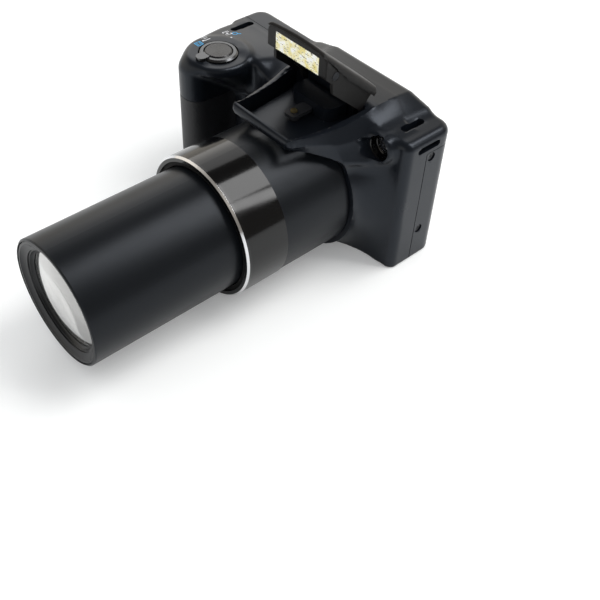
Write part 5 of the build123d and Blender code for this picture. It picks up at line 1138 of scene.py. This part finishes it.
lens_mark = strip(circle(TELE_PLACE, TELE_RADIUS, TELE_CORNERS), LINE, True)
lens_mark += strip([(TELE_PLACE[0] + step, TELE_PLACE[1] + step) for step in TELE_GRIP], GRIP_LINE)
print_mark("magnifier_mark", lens_mark, blue_ink)
subject_mark = [circle(SUBJECT_PLACE, SUBJECT_RADIUS, ROUND_CORNERS)]
x, y = SUBJECT_PLACE
for side in (-1, 1):
    near, far = (x + side * reach for reach in BRACKET)
    low, high = y - BRACKET_HALF, y + BRACKET_HALF
    subject_mark += strip([(near, low), (far, low), (far, high), (near, high)], LINE)
print_mark("subject_mark", subject_mark, white_ink)
print_mark("zoom_dots", [circle(place, ZOOM_DOT, ROUND_CORNERS) for place in ZOOM_DOTS], white_ink)

# %% [markdown]
# The power button has its words beside it, read from behind the camera. Letters are a text object, turned
# to face that way and laid on the plate.

# %% Lettering
LETTER_HEIGHT = 2.5
WORDS_X, WORDS_Y = -27.6, 1.9
words = bpy.data.curves.new("power_words", "FONT")
words.body = "ON/OFF"
words.size = LETTER_HEIGHT * MM
words.align_x = "CENTER"
words.align_y = "CENTER"
words.materials.append(white_ink)
power_words = bpy.data.objects.new("power_words", words)
words_z = surface_height(np.array([WORDS_X]), np.array([WORDS_Y]))[0] + INK_LIFT
power_words.location = (WORDS_X * MM, WORDS_Y * MM, words_z * MM)
power_words.rotation_euler = (0, 0, math.pi)
bpy.context.scene.collection.objects.link(power_words)
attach(power_words, "camera_body")
print("words", round(words_z, 2), "mm above the base")

# %% [markdown]
# Each case screw has a cross recess for its driver. From a hand's distance it reads as a dark cross: the
# shade in the recess, which is painted here as a thin flat dark cross on each head's face.

# %% Screw crosses of painted shade
CROSS_HALF, CROSS_ARM = 0.85, 0.16
HEAD_FACE_X, HEAD_FACE_Z = 51.715, 0.485
screws = [(HEAD_FACE_X, SIDE_SCREW_Y, height) for height in SIDE_SCREW_HEIGHTS]
screws += [(x, y, HEAD_FACE_Z) for x, y in BASE_SCREWS]
vertices, faces = [], []
for middle in screws:
    for half_u, half_v in ((CROSS_HALF, CROSS_ARM), (CROSS_ARM, CROSS_HALF)):
        for u, v in SQUARE:
            on_side = middle[0] == HEAD_FACE_X
            off = (0, u * half_u, v * half_v) if on_side else (u * half_u, v * half_v, 0)
            vertices.append([(place + step) * MM for place, step in zip(middle, off)])
        faces.append(tuple(range(len(vertices) - 4, len(vertices))))
# Flat black crosses paint the shade inside each recess.
painted_recess_shade = new_mesh("screw_crosses_painted_shade", vertices, faces)
painted_recess_shade.materials.append(matt_black)
set_on("screw_crosses_painted_shade", painted_recess_shade, "camera_body")

# %% [markdown]
# The photograph was made on a white sweep, with a large softbox above and behind the camera, a narrow strip
# beside it and a pale side panel. Black plastic shows little of its own colour, and almost all of its look
# is what it mirrors: the softbox as a long streak, the sweep as a pale edge, and the darker room beside it.
# The floor keeps the soft shadow.

# %% Floor
FLOOR_REACH, FLOOR_GLOW = 3.0, 0.15
floor_mesh = new_mesh("floor", [(x * FLOOR_REACH, y * FLOOR_REACH, 0) for x, y in SQUARE], [(0, 1, 2, 3)])
floor = bpy.data.objects.new("floor", floor_mesh)
bpy.context.scene.collection.objects.link(floor)
paper, tree, shader = surface("white_paper_sweep", "#f4f4f2", 0.7, Specular_IOR_Level=0.2)
path = add(tree, "ShaderNodeLightPath")
to_camera = path.outputs["Is Camera Ray"]
glow = add(tree, "ShaderNodeMath", {"operation": "MULTIPLY", 1: FLOOR_GLOW}, {0: to_camera})
tree.links.new(glow.outputs[0], shader.inputs["Emission Strength"])
shader.inputs["Emission Color"].default_value = (1, 1, 1, 1)
floor_mesh.materials.append(paper)
print("white sweep", 2 * FLOOR_REACH, "m wide")

# %% [markdown]
# A mirror-like surface shows the room itself. It is white where the camera looks past the table, grey where
# it lights matt surfaces, and for reflections it is pale low down on one side, where the sweep runs on, and
# dark above.

# %% The room that shiny surfaces mirror
world = bpy.data.worlds.new("studio")
bpy.context.scene.world = world
world.use_nodes = True
tree = world.node_tree
room_light = tree.nodes["Background"]
room_light.inputs["Color"].default_value = linear("#f3f5f8")
room_light.inputs["Strength"].default_value = 0.8
direction = add(tree, "ShaderNodeTexCoord")
parts = add(tree, "ShaderNodeSeparateXYZ", None, {"Vector": direction.outputs["Generated"]})


def fade(axis, start, end, least):
    """A value that rises softly to one between two directions."""
    settings = {"interpolation_type": "SMOOTHSTEP", "From Min": start, "From Max": end, "To Min": least}
    return add(tree, "ShaderNodeMapRange", settings, {"Value": parts.outputs[axis]}).outputs[0]


low_part = fade("Z", 0.66, 0.34, 0.0)
left_part = fade("X", 0.55, -0.2, 0.12)
sweep = add(tree, "ShaderNodeMath", {"operation": "MULTIPLY"}, {0: low_part, 1: left_part})
level = add(tree, "ShaderNodeMapRange", {"To Min": 0.1, "To Max": 1.0}, {"Value": sweep.outputs[0]})
mirrored = add(tree, "ShaderNodeBackground", {"Color": linear("#fff8ec")}, {"Strength": level.outputs[0]})
white = add(tree, "ShaderNodeBackground", {"Color": (1, 1, 1, 1), "Strength": 1.0})
path = add(tree, "ShaderNodeLightPath")
choices = {0: path.outputs["Is Camera Ray"], 1: path.outputs["Is Transmission Ray"]}
seen = add(tree, "ShaderNodeMath", {"operation": "MAXIMUM"}, choices)
choices = {0: path.outputs["Is Glossy Ray"], 1: room_light.outputs[0], 2: mirrored.outputs[0]}
for_gloss = add(tree, "ShaderNodeMixShader", None, choices)
choices = {0: seen.outputs[0], 1: for_gloss.outputs[0], 2: white.outputs[0]}
for_view = add(tree, "ShaderNodeMixShader", None, choices)
tree.links.new(for_view.outputs[0], tree.nodes["World Output"].inputs["Surface"])
print("room strength:", round(room_light.inputs["Strength"].default_value, 2))

# %% [markdown]
# Three soft lamps face the lens. The softbox gives the light and the long streak, the strip sharpens the
# edge of the barrels, and the side panel opens the shadows on the grip's side.

# %% Lamps
def lamp(name, place, width, depth, power):
    """A soft rectangular lamp that faces the lens."""
    data = bpy.data.lights.new(name, "AREA")
    data.shape = "RECTANGLE"
    data.size = width
    data.size_y = depth
    data.energy = power
    light = bpy.data.objects.new(name, data)
    light.location = place
    light.rotation_euler = (LENS_MIDDLE - Vector(place)).to_track_quat("-Z", "Y").to_euler()
    bpy.context.scene.collection.objects.link(light)
    print(name, power, "W")


lamp("softbox", (0.26, 0.45, 0.92), 0.46, 0.7, 5.2)
lamp("strip_light", (0.63, 0.45, 0.76), 0.12, 0.6, 1.5)
lamp("side_panel", (-0.66, 0.38, 0.6), 0.62, 0.62, 1.5)
